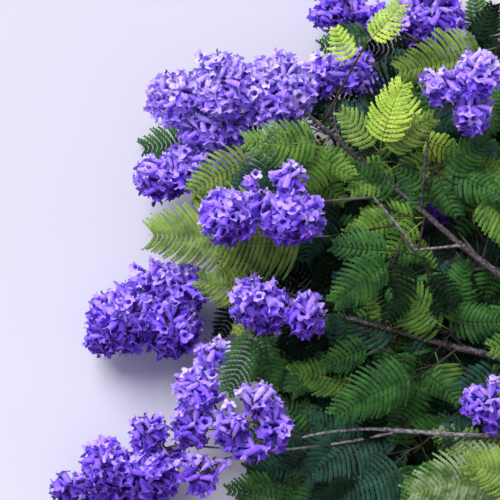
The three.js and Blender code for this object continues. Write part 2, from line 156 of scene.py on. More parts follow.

# Shoots that stand only here, told in the same way. The dark and green ones fill the shade behind the solid
# part's leaves as painted shade, and the fresh and olive ones are sunlit, their brighter tints painted light.
ADDED_SHOOTS = (
    ("north", "top_limb", 0.8, (505, 440, 90), (490, 560, 40), 1, 4, 12, "dark"),
    ("elbow", "upper_limb", 0.46, (420, 50, 110), (285, 20, 50), 1, 7, 21, "dark"),
    ("heart", "middle_limb", 0.85, (215, -60, 110), (105, 70, 40), 1, 9, 18, "dark"),
    ("hollow", "middle_limb", 0.97, (120, -90, 100), (10, -40, 40), 1, 5, 18, "dark"),
    ("west", "west_twig", 0.6, (0, -95, 80), (-70, -190, 40), 1, 12, 12, "dark"),
    ("fork", "lower_limb", 0.98, (190, -440, 90), (20, -470, 40), 2, 15, 24, "dark"),
    ("tips", "far_fork", 0.35, (90, -470, 70), (-20, -560, 30), 1, 21, 12, "dark"),
    ("brow", "upper_limb", 0.88, (150, 260, 120), (60, 190, 60), 1, 24, 12, "dark"),
    ("crown", "upper_limb", 0.97, (40, 240, 120), (-60, 255, 80), 1, 8, 9, "green"),
    ("cleft", "top_limb", 0.9, (390, 410, 90), (245, 440, 60), 2, 11, 12, "green"),
    ("sun_right", "upright_twig", 0.3, (440, 205, 235), (560, 110, 230), 2, 14, 9, "fresh"),
    ("sun_left", "upper_limb", 0.7, (400, 205, 205), (285, 135, 195), 2, 6, 9, "fresh"),
    ("sun_under", "elbow_twig", 0.9, (365, 70, 215), (235, 75, 190), 2, 16, 9, "fresh"),
    ("sun_east", "upper_limb", 0.5, (520, 100, 215), (590, 230, 230), 2, 19, 9, "fresh"),
    ("sun_corner", "lower_limb", 0.36, (655, -485, 255), (440, -436, 285), 1, 5, 0, "olive"),
    ("wheel", "middle_limb", 0.9, (195, -75, 105), (50, -15, 40), 1, 3, 3, "dark"),
    ("gable", "top_twig", 0.7, (268, 470, 135), (148, 436, 125), 1, 6, 3, "green"),
    ("right", "upper_limb", 0.42, (560, -5, 120), (425, 25, 40), 1, 11, 3, "dark"),
    ("wheel_side", "middle_limb", 0.93, (190, -190, 150), (85, -305, 158), 1, 3, 0, "green"),
    ("wheel_low", "middle_limb", 0.82, (235, -300, 150), (80, -262, 165), 1, 8, 0, "fresh"),
)

# The lobes of each head that is plainly made of several: their middles and half sizes.
HEAD_LOBES = {
    "head_crown": (
        ((-153, 321, 200), (57, 57, 62)),
        ((-54, 346, 228), (69, 71, 68)),
        ((60, 334, 220), (80, 80, 66)),
        ((-76, 262, 180), (88, 42, 50)),
        ((-79, 396, 235), (25, 25, 26)),
    ),
    "head_shoulder": (
        ((-193, 156, 120), (49, 47, 52)),
        ((-128, 175, 138), (53, 58, 60)),
        ((-57, 198, 150), (57, 43, 52)),
    ),
    "head_middle": (
        ((-45, 71, 310), (53, 55, 58)),
        ((86, 69, 322), (73, 57, 66)),
        ((81, 148, 335), (34, 32, 36)),
        ((6, 140, 330), (24, 28, 30)),
        ((16, 92, 310), (37, 33, 48)),
    ),
    "head_west": (
        ((-215, -58, 100), (45, 39, 46)),
        ((-147, -78, 95), (65, 50, 56)),
        ((-261, -147, 88), (82, 73, 76)),
        ((-168, -155, 92), (67, 73, 74)),
        ((-316, -186, 75), (43, 45, 50)),
    ),
    "head_heart": (
        ((23, -107, 284), (62, 56, 54)),
        ((113, -134, 274), (39, 43, 42)),
    ),
    "head_pillar": (
        ((-80, -216, 165), (34, 38, 40)),
        ((-104, -289, 150), (55, 47, 56)),
        ((-124, -371, 140), (43, 55, 48)),
    ),
    "head_wheel": (
        ((10, -306, 290), (43, 31, 34)),
        ((-39, -368, 262), (35, 52, 44)),
        ((52, -362, 258), (33, 54, 44)),
        ((4, -409, 262), (39, 25, 32)),
    ),
    "head_foot": (
        ((-219, -389, 110), (37, 41, 40)),
        ((-310, -474, 96), (52, 65, 62)),
        ((-215, -483, 96), (69, 65, 72)),
        ((-389, -519, 80), (39, 37, 42)),
        ((-161, -435, 100), (28, 28, 30)),
        ((-278, -555, 70), (78, 52, 52)),
    ),
    "head_upright": (
        ((388, 335, 330), (47, 39, 44)),
        ((463, 354, 330), (49, 45, 52)),
        ((453, 280, 312), (39, 45, 44)),
    ),
    "head_high": (
        ((151, 372, 150), (40, 53, 46)),
        ((208, 391, 156), (47, 47, 48)),
        ((264, 353, 145), (34, 38, 36)),
    ),
}

# The lobes of any other head: the middle of each in the head's half sizes along its own axes, and its size
# as a share of the head's.
COMMON_LOBES = (
    ((-0.4, 0.05, -0.1), 0.64),
    ((0.28, 0.34, 0.0), 0.62),
    ((0.34, -0.32, 0.05), 0.6),
    ((0.0, 0.0, 0.3), 0.52),
)

# Leaves that would lie over a limb that shows bare, each named by its shoot and its number on it: how far the
# middle and the end of its curve are moved.
BENT_LEAVES = {
    ("spray_pale", 2): ((0, 0, -95), (0, 0, -75)),
    ("spray_arch", 1): ((0, 0, -95), (0, 0, -85)),
    ("spray_bright", 1): ((-10, 70, -10), (-20, 105, -20)),
    ("spray_arch", 3): ((0, 0, -62), (0, 0, -60)),
    ("spray_arch", 7): ((0, 0, -62), (0, 0, -60)),
    ("spray_arch", 11): ((0, 0, -62), (0, 0, -60)),
    ("spray_bright", 10): ((0, 0, -55), (0, 0, -50)),
    ("spray_bright", 12): ((0, 0, -55), (0, 0, -50)),
}

# The limbs with paler bark than the rest: a painted highlight, for the limbs that catch the light.
LIT_LIMBS = ("lower_limb", "near_fork", "far_fork", "elbow_twig", "elbow_end")

# The limbs that show bare, and the shares of each at which that is tested. An added leaf's rib doesn't pass
# over those places, or beside them by less than this share of the leaf's length.
BARE_LIMBS = (
    "upper_limb",
    "middle_limb",
    "lower_limb",
    "near_fork",
    "elbow_twig",
    "elbow_end",
    "upright_twig",
)
BARE_PLACES = np.linspace(0.1, 0.95, 40)
BARE_MARGIN = 0.1

# Below, lengths are in millimetres and turns in radians. Pairs are (least, most), and (foot, tip) for radii.

# How the solid part deals out its leaves.
SHOOT_RADII = (2.9, 2.3)
LEAFED = (0.55, 0.97)  # the part of a shoot or twig that bears leaves
SIDE_LEAF = (0.8, 1.05)  # length of the side leaves, as a share of the longest
TURN = (0.6, 1.25)  # how far the side leaves turn away from the longest
RISE = (-50, 50)  # how far their ends are above their roots
ROLL = 0.5  # the most that a leaf turns about its rib
SWAY = 0.06  # the most that its middle is pushed aside, as a share of its length
ARCH = 0.05  # how far its middle is pushed up, as a share of its length

# The side ribs of a leaf, its pinnae.
PETIOLE = 0.16  # share of the leaf's rib at which they start
PINNAE_END = 0.97  # share at which they end
WIDEST = 0.42  # share at which they are longest
FIRST_PINNA = 0.72  # length of the first, as a share of the longest
LAST_PINNA = 0.3  # length of the last
LEAN = (0.22, 0.75)  # how far they lean to the leaf's tip, near its foot and near its tip
LEAN_JITTER = 0.03
DROOP = 0.16  # how far their tips hang, as a share of their length
DROOP_RANGE = (0.4, 1.8)  # shares of that
PINNA_MIDDLE = (0.6, 0.26, 0.05)  # where the middle of their curve is drawn to: shares (across, along, up)

# The leaflets on a side rib.
LEAFLET = ((-0.1, 0.0), (0.95, 0.0), (1.1, 1.0), (0.15, 0.85))  # corners: spacings along, lengths out
FIRST_LEAFLET = -0.2  # where the first stands, in spacings
LEAFLETS_END = 0.98  # share of the side rib where the last may stand
TAPER_START = 0.28  # their lengths follow half a wave of a sine from this share of it on
FORWARD = (-0.25, 0.5)  # how far they point to the side rib's tip, at its foot and further on
FORWARD_PACE = 6  # how soon that changes
ACROSS = 0.85  # how far they point across the side rib
FALL = (0.0, 0.4)  # how far they point down

# Radii of a leaf's rib and of its side ribs, as shares of the rib radius.
RIB_RADII = (1, 0.4)
SIDE_RIB_RADII = (0.42, 0.25)

# The twigs that carry the added leaves.
TWIG_START = (0.15, 0.9)  # share of the shoot where a twig starts
TWIG_LENGTH = (45, 130)
TWIG_TURN = (-2.3, 2.3)  # how far a twig turns from its shoot's way, and a leaf from its twig's
TWIG_CLIMB = (-70, 10)
TWIG_ARCH = 6
TWIG_RADII = (1.6, 1.2)
LOWEST_TWIG = 8  # least height of a twig's end
TWIG_LEAVES = 3  # the most leaves that a twig bears
TWIG_LEAF = (0.5, 0.95)  # length of its leaves, as a share of the shoot's longest
TWIG_LEAF_RISE = (-110, 20)  # how far their ends are above their roots
LEAF_TRIES = 16  # places tried for a twig's leaves

# An added leaf is tested at these shares of its rib. It is kept out of this share of a lobe's size, and from
# over this share of its breadth.
LEAF_PLACES = np.linspace(0.1, 1, 10)
LOBE_KEPT_FREE = 0.95
LOBE_KEPT_OPEN = 0.8

# Left edge of the foliage, as (y, x): an added leaf stays to its right.
FOLIAGE_EDGE = ((700, 130), (430, 150), (240, 60), (60, -60), (-100, -80), (-330, -60), (-700, -120))

# The shaded part of the bough, and the shares of the shade height under which its leaves get darker: painted
# shade.
SHADE_MARGIN = 40  # how far to the right of the foliage's edge it starts
SHADED_X = 600  # where it ends at the right
SHADED_Y = (-515, 470)
LOW_LEVEL = 1  # every leaf is dark under this
MIDDLE_LEVEL = 1.3  # every side leaf is a step darker under this
SHADE_JITTER = 0.12

# The dark leaves, painted shade, are dealt into these tints, by the lower cuts where y is under the lower
# side's.
DEEP_SHADES = ("dark", "blue", "green")
LOWER_SIDE = -240
LOWER_CUTS = (0.3, 0.65)
UPPER_CUTS = (0.75, 1)

# A head's stem, its side stalks out to the bunches, and the flowers' own stalks.
STEM_RADII = (3, 2)
SIDE_STALK_RADII = (1.6, 1.2)
SIDE_STALK_BACK = 0.2  # share of the stem that a side stalk starts before it is abreast of its bunch
SIDE_STALK_PART = (0.3, 1)  # part of the stem that bears side stalks
SIDE_STALK_ARCH = 4
STALK_RADII = (0.8, 0.9)
STALK_BEND = 0.4  # how far before its flower a stalk bends, as a share of the way from the bunch

# The bunches of a lobe.
LEAST_BUNCHES = 3
COVERED = 0.9  # share of the ball round the lobe's middle that they spread over
BUNCH_JITTER = 0.15
INNER_LEAST = 0.3  # least share of the lobe's half size at which they lie
BUNCH_SWELL = (0.84, 1.04)  # how far the flowers of a bunch stand out

# The flowers of a lobe.
MOUTH_JITTER = 0.12
MOUTH_REACH = (0.5, 1.04)  # shares of the lobe's half size at which the mouths lie
FLOWER_SIZES = (0.78, 1.12)
OTHER_LOBE = 0.7  # no mouth lies deeper in another lobe than this share of its half size
DEEPER_FOOT = 0.8  # a foot lies deeper in the lobe than this share of its mouth's depth

# One flower.
TUBE_SIDES = 8
TUBE_PROFILE = ((0.0, 0.2), (0.16, 0.3), (0.36, 0.82), (0.68, 1.08), (1.0, 0.96))  # lengths, throat radii
TUBE_OVAL = (1.08, 0.92)  # (across, up), in throat radii
LIPS_OVAL = (1.06, 0.94)
FLOWER_BOW = 0.16  # how far its foot is bowed down, as a share of its length
BOW_RANGE = (0.6, 1.4)  # shares of that

# The five lobes of its mouth.
PETALS = 5
LOBE_OUTLINE = (0.5, 0.9, 1.0, 0.9)  # how far a lobe reaches, at even steps across it
LIP_ROWS = (0.0, 0.5, 1.0)  # shares of that reach where there are points
UPPER_LOBE = 0.85  # share of the lobe length that the upper ones reach
LOWER_LONGER = 0.35  # how much more the lower ones reach
LOBE_LENGTHS = (0.85, 1.15)
LOBE_OPENING = (10, 90)  # degrees
LOWER_WIDER = 15  # degrees that the lower ones open more
LOBE_CURL = (-0.5, 0.9)  # how far their edge is turned out further
LIP_START = 0.98  # throat radii at which they start
RUFFLE_OUT = 0.5  # how far a ruffle goes outwards, as a share of how far it goes up
LIP_LEAN = (0.12, 1.0, 0.25)  # the way that the upper lips are turned to

# How pale a flower is, as painted light and shade: its head's glow, and what these add to it where it
# faces the light and at the upper side of its head and its lobe, which the light falls on.
BRIGHT_WAY = (-0.4, 0.7, 0.6)
FACING_GLOW = 0.2  # where it faces the bright way
HEAD_GLOW = 0.26  # at the top of its head
LOBE_GLOW = 0.26  # at the top of its lobe
GLOW_JITTER = 0.13
GLOW_CUTS = (0.2, 0.52, 1.06)  # between deep, violet, lavender and pale

# A calyx.
CALYX_PLACES = (-2, 1, 5)  # its foot, middle and rim, from the flower's foot on
CALYX_RADII = (1.2, 2.4)

# A bud.
BUD_SPREAD = (1, 1, 0.5)  # how widely buds spread round a lobe
BUD_SIDE = (0, 0.8, 0.3)  # the side that more of them are on
BUD_REACH = (0.95, 1.12)  # share of the lobe's half size at which its tip lies
BUD_TILT = 0.3
BUD_LENGTH = (7, 13)
BUD_ROOT = 0.55  # share of the way out to it at which its stalk starts
BUD_STALK_ARCH = 3
BUD_STALK_RADII = (0.8, 0.7)
BUD_CONES = ((0.0, 0.45, (0.9, 2.2)), (0.45, 0.55, (2.2, 0.8)))  # its halves: start, length, radii

# A limb's small bends and its faces.
WAVE_RUN = 46  # length of limb for each radian of a wave
WAVE_STARTS = (0, 6.3)
LEAST_RINGS = 12
SMOOTHED = math.radians(50)  # edges that turn less than this are shaded smooth

# The sawn end.
DISC_SHARE = 0.9  # radius of the pale wood, as a share of the bough's
DISC_SIDES = 40
DISC_OUT = 1.2  # how far it stands out
DISC_EDGE = (0.6, 0.25)  # breadth and height of its edge

SENSOR_WIDTH = 36  # the camera's

# Leaf tints: upper side of the leaflets, and the same in their folds. Besides the leaves' own greens they
# hold
# painted light and shade: lime is painted light where the light falls on and through a leaf, blue and dark
# are painted shade low in the bough, blue with a painted bluish sheen.
LEAF_TINTS = {
    "lime": ("#b6d052", "#8cae3c"),
    "pale": ("#869a6d", "#456327"),
    "olive": ("#809c43", "#54712c"),
    "fresh": ("#658d34", "#3a6325"),
    "green": ("#356627", "#1c421b"),
    "blue": ("#24503f", "#142f27"),
    "dark": ("#0c2211", "#040d06"),
}

# The tint that is a step darker than each: painted shade for side leaves that lie lower in the bough.
STEP_DOWN = {
    "lime": "olive",
    "pale": "green",
    "olive": "green",
    "fresh": "green",
    "green": "dark",
    "blue": "dark",
    "dark": "dark",
}

# Rib tints, and which of them goes with the darker leaf tints: lit and shaded copies of one rib colour, the
# shaded and dark ones painted shade. All others have bright ribs.
RIB_TINTS = {
    "bright": ("#8c9c46", "#5f7434"),
    "shaded": ("#34441f", "#1e2d18"),
    "dark": ("#141f10", "#0c150b"),
}
RIBS_OF_LEAVES = {"green": "shaded", "blue": "shaded", "dark": "dark"}

# Petal tints: the lips, and the tubes behind them. The four are one petal colour in painted light and
# shade, pale where it is lit most and deep in shade, with a little spread of their own.
PETAL_TINTS = {
    "pale": ("#cdb9ff", "#b398fd"),
    "lavender": ("#b999ff", "#a07bfc"),
    "violet": ("#9d77fc", "#8456f1"),
    "deep": ("#7843d2", "#451f9c"),
}

# Bark tints: the furrows, the ridges, and how many millimetres apart the pores are. The pores' own tint.
YOUNG_BARK = ("#1c171a", "#675b60", 9)
# The lit limbs' paler bark is a painted highlight where the light falls along them.
LIT_YOUNG_BARK = ("#3f383d", "#a39aa2", 7)
PORE_TINT = "#b5a9a6"

# Two tints each for the stalks, calyces, buds, sawn wood and floor, and one for the light all round.
SHOOT_TINTS = ("#3a3828", "#2b221f")
FLOWER_STALK_TINTS = ("#5d5a4a", "#4b3b52")
CALYX_TINTS = ("#4d3f63", "#33264a")
BUD_TINTS = ("#3a2c56", "#1e1630")
SAWN_TINTS = ("#c9ae84", "#e4d2ad")
FLOOR_TINTS = ("#cbcad5", "#c9c8d3")
SURROUND_TINT = "#eeecff"


def between(low, high, fraction):
    """The value at this fraction of the way from low to high."""
    return low + (high - low) * fraction


def seeded_fractions(seed):
    """A fraction from 0 to 1 at each call, always the same series for one seed."""
    state = [seed]

    def draw():
        state[0] = (state[0] * 1664525 + 1013904223) % 4294967296
        return state[0] / 4294967296

    return draw


def unit(vectors):
    """Vectors of length one, along the last axis."""
    return vectors / np.linalg.norm(vectors, axis=-1, keepdims=True)


# Curves are three control points, and shares run from 0 at the foot to 1 at the tip.

def bowed_curve(foot, tip, aside, up):
    """The curve of a limb, stem or leaf rib: its middle is pushed aside and up from the straight line."""
    foot, tip = np.array(foot, float), np.array(tip, float)
    across = unit(np.cross(UP, tip - foot))
    return np.stack((foot, (foot + tip) / 2 + across * aside * 2 + UP * up * 2, tip))


def curve_points(curves, shares):
    """Points at these shares of each curve: (..., share, xyz). Each curve may have shares of its own."""
    s = np.asarray(shares, float)[..., None]
    foot, middle, tip = curves[..., None, 0, :], curves[..., None, 1, :], curves[..., None, 2, :]
    return (1 - s) ** 2 * foot + 2 * s * (1 - s) * middle + s**2 * tip


def curve_tangents(curves, shares):
    """Directions along each curve at these shares."""
    s = np.asarray(shares, float)[..., None]
    foot, middle, tip = curves[..., None, 0, :], curves[..., None, 1, :], curves[..., None, 2, :]
    return unit((1 - s) * (middle - foot) + s * (tip - middle) + 1e-9)


def depth_in(lobe, points):
    """The share of a lobe's size at which each point lies: 1 on its surface, less inside."""
    middle, axes, half = lobe
    return np.linalg.norm(((points - middle) @ axes.T) / half, axis=-1)


def frames_on(curves, shares, roll=0.0):
    """At these shares: the points, the way along the curve, across it and out of its upper face."""
    along = curve_tangents(curves, shares)
    level = unit(np.cross(UP, along) + np.array((1e-7, 0, 0)))
    across = level * math.cos(roll) + np.cross(along, level) * math.sin(roll)
    return curve_points(curves, shares), along, across, np.cross(along, across)


class Bundle:
    """Points and triangles that are gathered into one joined piece."""

    def __init__(self):
        self.points = []
        self.triangles = []
        self.count = 0

    def add(self, points, triangles):
        """Adds points (n, 3) and triangles (m, 3) that index them."""
        self.points.append(points.reshape(-1, 3))
        self.triangles.append(triangles.reshape(-1, 3) + self.count)
        self.count += self.points[-1].shape[0]

    def add_copies(self, points, triangles):
        """Adds many copies of one shape: points (copies, n, 3) and triangles (m, 3) that index one copy."""
        copies, size = points.shape[:2]
        self.add(points, triangles[None] + (np.arange(copies) * size)[:, None, None])


def ring_walls(sides, rings):
    """The triangles between rings of points that follow each other along a tube, facing outwards."""
    step, side = np.meshgrid(np.arange(rings - 1), np.arange(sides), indexing="ij")
    near, near_next = step * sides + side, step * sides + (side + 1) % sides
    return np.stack(
        (near, near_next + sides, near_next, near, near + sides, near_next + sides), axis=-1
    ).reshape(-1, 3)


def add_tubes(bundle, curves, radii, sides, steps):
    """Adds round stalks along curves (n, 3, 3), closed at both ends, with these radii at (foot, tip)."""
    shares = np.linspace(0, 1, steps + 1)
    at, _, across, face = frames_on(curves, shares)
    turn = np.arange(sides) * 2 * math.pi / sides
    ring = across[:, :, None] * np.sin(turn)[:, None] + face[:, :, None] * np.cos(turn)[:, None]
    thick = between(radii[0], radii[1], shares)[None, :, None, None]
    points = (at[:, :, None] + ring * thick).reshape(len(curves), -1, 3)
    fan = np.arange(1, sides - 1)
    foot_cap = np.stack((np.zeros_like(fan), fan, fan + 1), axis=-1)
    tip_cap = np.stack((np.zeros_like(fan), fan + 1, fan), axis=-1) + steps * sides
    bundle.add_copies(points, np.concatenate((ring_walls(sides, steps + 1), foot_cap, tip_cap)))


# Where everything on the bough is.

class Bough:
    """The bough's limbs, heads and shoots as curves and places, in millimetres."""

    def __init__(self):
        self.limbs = {}
        for name, carrier, start, tip, radii, bow in LIMBS:
            foot = self.root_in(carrier, start, radii[0]) if carrier else np.array(start, float)
            self.limbs[name] = bowed_curve(foot, tip, *bow)
        mount = next(m for m in frame["record"]["mounts"] if m["name"] == "cut_end")
        self.shift = np.array(LIMBS[0][2], float) - np.array(mount["pos_m"]) / MM
        self.heads = [self.head_space(*head[1:5]) for head in HEADS]
        self.lobes = [self.lobes_of_head(head[0], space) for head, space in zip(HEADS, self.heads)]
        self.bare = np.concatenate([curve_points(self.limbs[name], BARE_PLACES) for name in BARE_LIMBS])

    def root_in(self, name, share, radius):
        """Where something of this radius starts, inside the limb that carries it."""
        curve = self.limbs[name]
        start = curve_points(curve, [share])[0]
        return start - curve_tangents(curve, [1])[0] * radius if share == 1 else start

    def head_space(self, carrier, share, middle, size):
        """A head's start, middle, level axes and half sizes."""
        start = self.root_in(carrier, share, STEM_RADII[0])
        middle = np.array(middle, float)
        along = unit((middle - start) * (1, 1, 0))
        axes = np.stack((along, np.cross(UP, along), UP))
        return start, middle, axes, np.array(size) / 2

    def lobes_of_head(self, name, space):
        """A head's lobes, each a middle, axes and half sizes."""
        if name in HEAD_LOBES:
            return [(middle, np.eye(3), half) for middle, half in np.array(HEAD_LOBES[name], float)]
        _, middle, axes, half = space
        return [(middle + (place * half) @ axes, axes, half * share) for place, share in COMMON_LOBES]

    def depth_in_heads(self, points):
        """For each point the smallest share of any lobe that it lies in: under 1 is inside that lobe."""
        return np.min([depth_in(lobe, points) for lobes in self.lobes for lobe in lobes], axis=0)

    def covers_heads(self, points):
        """True for each point that would lie over a lobe's upper face."""
        over = np.zeros(len(points), bool)
        for middle, axes, half in (lobe for lobes in self.lobes for lobe in lobes):
            flat = ((points - middle) @ axes.T)[:, :2] / half[:2]
            over |= (np.linalg.norm(flat, axis=-1) < LOBE_KEPT_OPEN) & (points[:, 2] > middle[2])
        return over

    def covers_limbs(self, points, breadth):
        """True where something of this half breadth would lie over a limb that shows bare."""
        apart = np.linalg.norm(points[:, None, :2] - self.bare[None, :, :2], axis=-1)
        return ((apart < breadth) & (points[:, None, 2] > self.bare[None, :, 2])).any()

    def placed(self, points):
        """Points in millimetres as places in the part's frame, in metres."""
        return (points - self.shift) * MM


# Leaves

def foliage_edge(y):
    """How far left a leaf may reach at this height of the picture."""
    ys, xs = zip(*sorted(FOLIAGE_EDGE))
    return np.interp(y, ys, xs)


def turned_about_up(vector, angle):
    """A vector turned about +Z."""
    cos, sin = math.cos(angle), math.sin(angle)
    return np.array((vector[0] * cos - vector[1] * sin, vector[0] * sin + vector[1] * cos, vector[2]))


def leaf_from_draws(shoot, longest_tip, index, draw):
    """One leaf of a shoot by the solid part's rule: its root, end, roll and sway."""
    reach = longest_tip - shoot[2]
    root = curve_points(shoot, [LEAFED[1] if index == 0 else between(*LEAFED, draw())])[0]
    end = longest_tip.copy()
    if index > 0:
        turn = (1 if index % 2 else -1) * math.ceil(index / 2) * between(*TURN, draw())
        end = turned_about_up(reach, turn) * between(*SIDE_LEAF, draw()) + root
        end[2] = max(0, root[2] + between(*RISE, draw()))
    return root, end, between(-ROLL, ROLL, draw()), between(-SWAY, SWAY, draw())


def leaf_fits(bough, curve, length):
    """True where an added leaf stays in the bough's box and clear of its open side, bare limbs and heads."""
    points = curve_points(curve, LEAF_PLACES)
    low, high = (np.array(corner) / MM + bough.shift for corner in CAD_BOX)
    if (points < low).any() or (points > high).any():
        return False
    if (points[:, 0] < foliage_edge(points[:, 1])).any():
        return False
    if bough.covers_limbs(points, length * BARE_MARGIN) or bough.covers_heads(points).any():
        return False
    return (bough.depth_in_heads(points) > LOBE_KEPT_FREE).all()


def added_leaves(bough, shoot, longest, more, draw):
    """Twigs that leave a shoot, with a few leaves at the end of each: (twigs, leaves)."""
    way = unit((shoot[2] - shoot[0]) * (1, 1, 0))
    twigs, leaves = [], []
    for _ in range(more // TWIG_LEAVES):
        foot = curve_points(shoot, [between(*TWIG_START, draw())])[0]
        out = turned_about_up(way, between(*TWIG_TURN, draw()))
        tip = foot + out * between(*TWIG_LENGTH, draw()) + UP * between(*TWIG_CLIMB, draw())
        tip[2] = max(tip[2], LOWEST_TWIG)
        twig = bowed_curve(foot, tip, 0, TWIG_ARCH)
        carried = []
        for _ in range(LEAF_TRIES):
            root = curve_points(twig, [between(*LEAFED, draw())])[0]
            length = longest * between(*TWIG_LEAF, draw())
            end = root + turned_about_up(out, between(*TWIG_TURN, draw())) * length
            end[2] = max(0, root[2] + between(*TWIG_LEAF_RISE, draw()))
            curve = bowed_curve(root, end, between(-SWAY, SWAY, draw()) * length, ARCH * length)
            roll = between(-ROLL, ROLL, draw())
            if leaf_fits(bough, curve, length):
                carried.append((curve, length, roll))
            if len(carried) == TWIG_LEAVES:
                break
        if carried:
            twigs.append(twig)
            leaves += carried
    return twigs, leaves


def leaves_of_spray(bough, spray):
    """One shoot's own leaves, as in the solid part, and the twigs and leaves that are added to it.

    Gives the shoot's curve, the twigs' curves and the leaves as (curve, length, roll).
    """
    _, carrier, share, shoot_end, tip, own, seed, more, _ = spray
    shoot = bowed_curve(bough.root_in(carrier, share, SHOOT_RADII[0]), shoot_end, 0, 0)
    draw = seeded_fractions(seed)
    leaves = []
    for index in range(own):
        root, end, roll, sway = leaf_from_draws(shoot, np.array(tip, float), index, draw)
        length = np.linalg.norm(end - root)
        curve = bowed_curve(root, end, sway * length, ARCH * length)
        leaves.append((curve, length, roll))
    twigs, others = added_leaves(bough, shoot, max(leaf[1] for leaf in leaves), more, draw)
    return shoot, twigs, leaves + others


def pinna_curves(curve, length, roll, settings, rng):
    """The side ribs of one leaf as curves, in pairs that lean more to the tip as they get shorter."""
    pairs = round(length * (PINNAE_END - PETIOLE) * MM / settings.rib_spacing)
    shares = between(PETIOLE, PINNAE_END, (np.arange(pairs) + 0.5) / pairs)
    at, along, across, face = frames_on(curve, shares, roll)
    spread = np.where(
        shares < WIDEST,
        between(FIRST_PINNA, 1, (shares - PETIOLE) / (WIDEST - PETIOLE)),
        between(1, LAST_PINNA, (shares - WIDEST) / (1 - WIDEST)),
    )
    mid_across, mid_along, mid_up = PINNA_MIDDLE
    curves = []
    for hand in (-1, 1):
        uneven = 1 + settings.uneven * rng.uniform(-1, 1, shares.shape)
        reach = (settings.breadth * length * spread * uneven)[:, None]
        lean = between(*LEAN, shares)[:, None] + rng.uniform(-LEAN_JITTER, LEAN_JITTER, reach.shape)
        wide = np.sqrt(1 - lean**2)
        droop = DROOP * rng.uniform(*DROOP_RANGE, shares.shape)[:, None]
        tip = at + reach * (across * hand * wide + along * lean - face * droop)
        middle = at + reach * (across * hand * wide * mid_across + along * lean * mid_along + face * mid_up)
        curves.append(np.stack((at, middle, tip), axis=1))
    return np.concatenate(curves)


def add_leaf(leaflets, stalks, curve, length, roll, settings, rng):
    """Adds one leaf: a rib, side ribs in pairs, and leaflets in pairs along each side rib."""
    pinnae = pinna_curves(curve, length, roll, settings, rng)
    reach = np.linalg.norm(pinnae[:, 2] - pinnae[:, 0], axis=-1)[:, None]
    spacing = settings.leaflet_spacing / MM
    shares = (np.arange(int(reach.max() / spacing) + 1) + FIRST_LEAFLET) * spacing / reach
    shown = shares < LEAFLETS_END
    shares = np.clip(shares, 0, 1)
    at, along, across, face = frames_on(pinnae, shares)
    taper = between(settings.pinna_point, 1, np.sin(math.pi * between(TAPER_START, 1, shares)))
    long = (settings.leaflet_length / MM * taper)[..., None]
    forward = between(*FORWARD, np.clip(shares * FORWARD_PACE, 0, 1))[..., None]
    outline = np.array(LEAFLET)
    quad = np.array(((0, 1, 2), (0, 2, 3)))
    for hand in (-1, 1):
        fall = rng.uniform(*FALL, shares.shape)[..., None]
        out = unit(along * forward + across * hand * ACROSS - face * fall)
        points = (
            at[:, :, None]
            + along[:, :, None] * outline[:, :1] * spacing
            + (out * long)[:, :, None] * outline[:, 1:]
        )
        leaflets.add_copies(points[shown], quad if hand > 0 else quad[:, ::-1])
    add_tubes(stalks, curve[None], np.array(RIB_RADII) * settings.rib_radius, sides=5, steps=9)
    add_tubes(stalks, pinnae, np.array(SIDE_RIB_RADII) * settings.rib_radius, sides=3, steps=2)


# Flowers

def flower_shape(settings, rng):
    """One trumpet flower with the middle of its mouth at the origin, opening along +Z, its lower lip at -Y.

    Gives the tube's points and triangles and then the lips' points and triangles, in millimetres.
    """
    length = settings.flower_length / MM
    throat = settings.throat_radius / MM
    bow = FLOWER_BOW * length * rng.uniform(*BOW_RANGE)
    turn = np.arange(TUBE_SIDES) * 2 * math.pi / TUBE_SIDES
    tube = np.concatenate([
        np.stack((
            throat * width * TUBE_OVAL[0] * np.sin(turn),
            throat * width * TUBE_OVAL[1] * np.cos(turn) - bow * (1 - share) ** 2,
            np.full(TUBE_SIDES, (share - 1) * length),
        ), axis=-1)
        for share, width in TUBE_PROFILE
    ])

    place = np.arange(PETALS * len(LOBE_OUTLINE)) / len(LOBE_OUTLINE)
    turn = (place + 0.5 - 1 / len(LOBE_OUTLINE)) * 2 * math.pi / PETALS
    lower = 0.5 - 0.5 * np.cos(turn)
    lobe = np.floor(place).astype(int)
    reach = settings.lobe_length / MM * np.tile(LOBE_OUTLINE, PETALS)
    reach = reach * (UPPER_LOBE + LOWER_LONGER * lower) * rng.uniform(*LOBE_LENGTHS, PETALS)[lobe]
    opening = np.radians(rng.uniform(*LOBE_OPENING, PETALS)[lobe] + LOWER_WIDER * lower)
    curl = rng.uniform(*LOBE_CURL, PETALS)[lobe]
    lips = []
    for share in LIP_ROWS:
        bend = opening + curl * share
        ruffle = rng.uniform(-1, 1, place.shape) * settings.ruffle / MM * share
        out = throat * LIP_START + reach * share * np.sin(bend) + ruffle * RUFFLE_OUT
        rise = reach * share * np.cos(bend) + ruffle
        ring = (out * LIPS_OVAL[0] * np.sin(turn), out * LIPS_OVAL[1] * np.cos(turn), rise)
        lips.append(np.stack(ring, axis=-1))
    lips = np.concatenate(lips)
    return tube, ring_walls(TUBE_SIDES, len(TUBE_PROFILE)), lips, ring_walls(len(place), len(LIP_ROWS))


def even_ball(count, covered=1.0):
    """Directions spread evenly over a ball, or over this share of it from +X on."""
    index = np.arange(count)
    along = 1 - 2 * covered * (index + 0.5) / count
    ring = np.sqrt(1 - along**2)
    return np.stack((along, ring * np.cos(index * GOLDEN_ANGLE), ring * np.sin(index * GOLDEN_ANGLE)), -1)


def head_area(half):
    """Surface of an ellipsoid with these half sizes, by a mean of powers, right to about a hundredth."""
    power = 1.6
    a, b, c = half**power
    return 4 * math.pi * ((a * b + a * c + b * c) / 3) ** (1 / power)


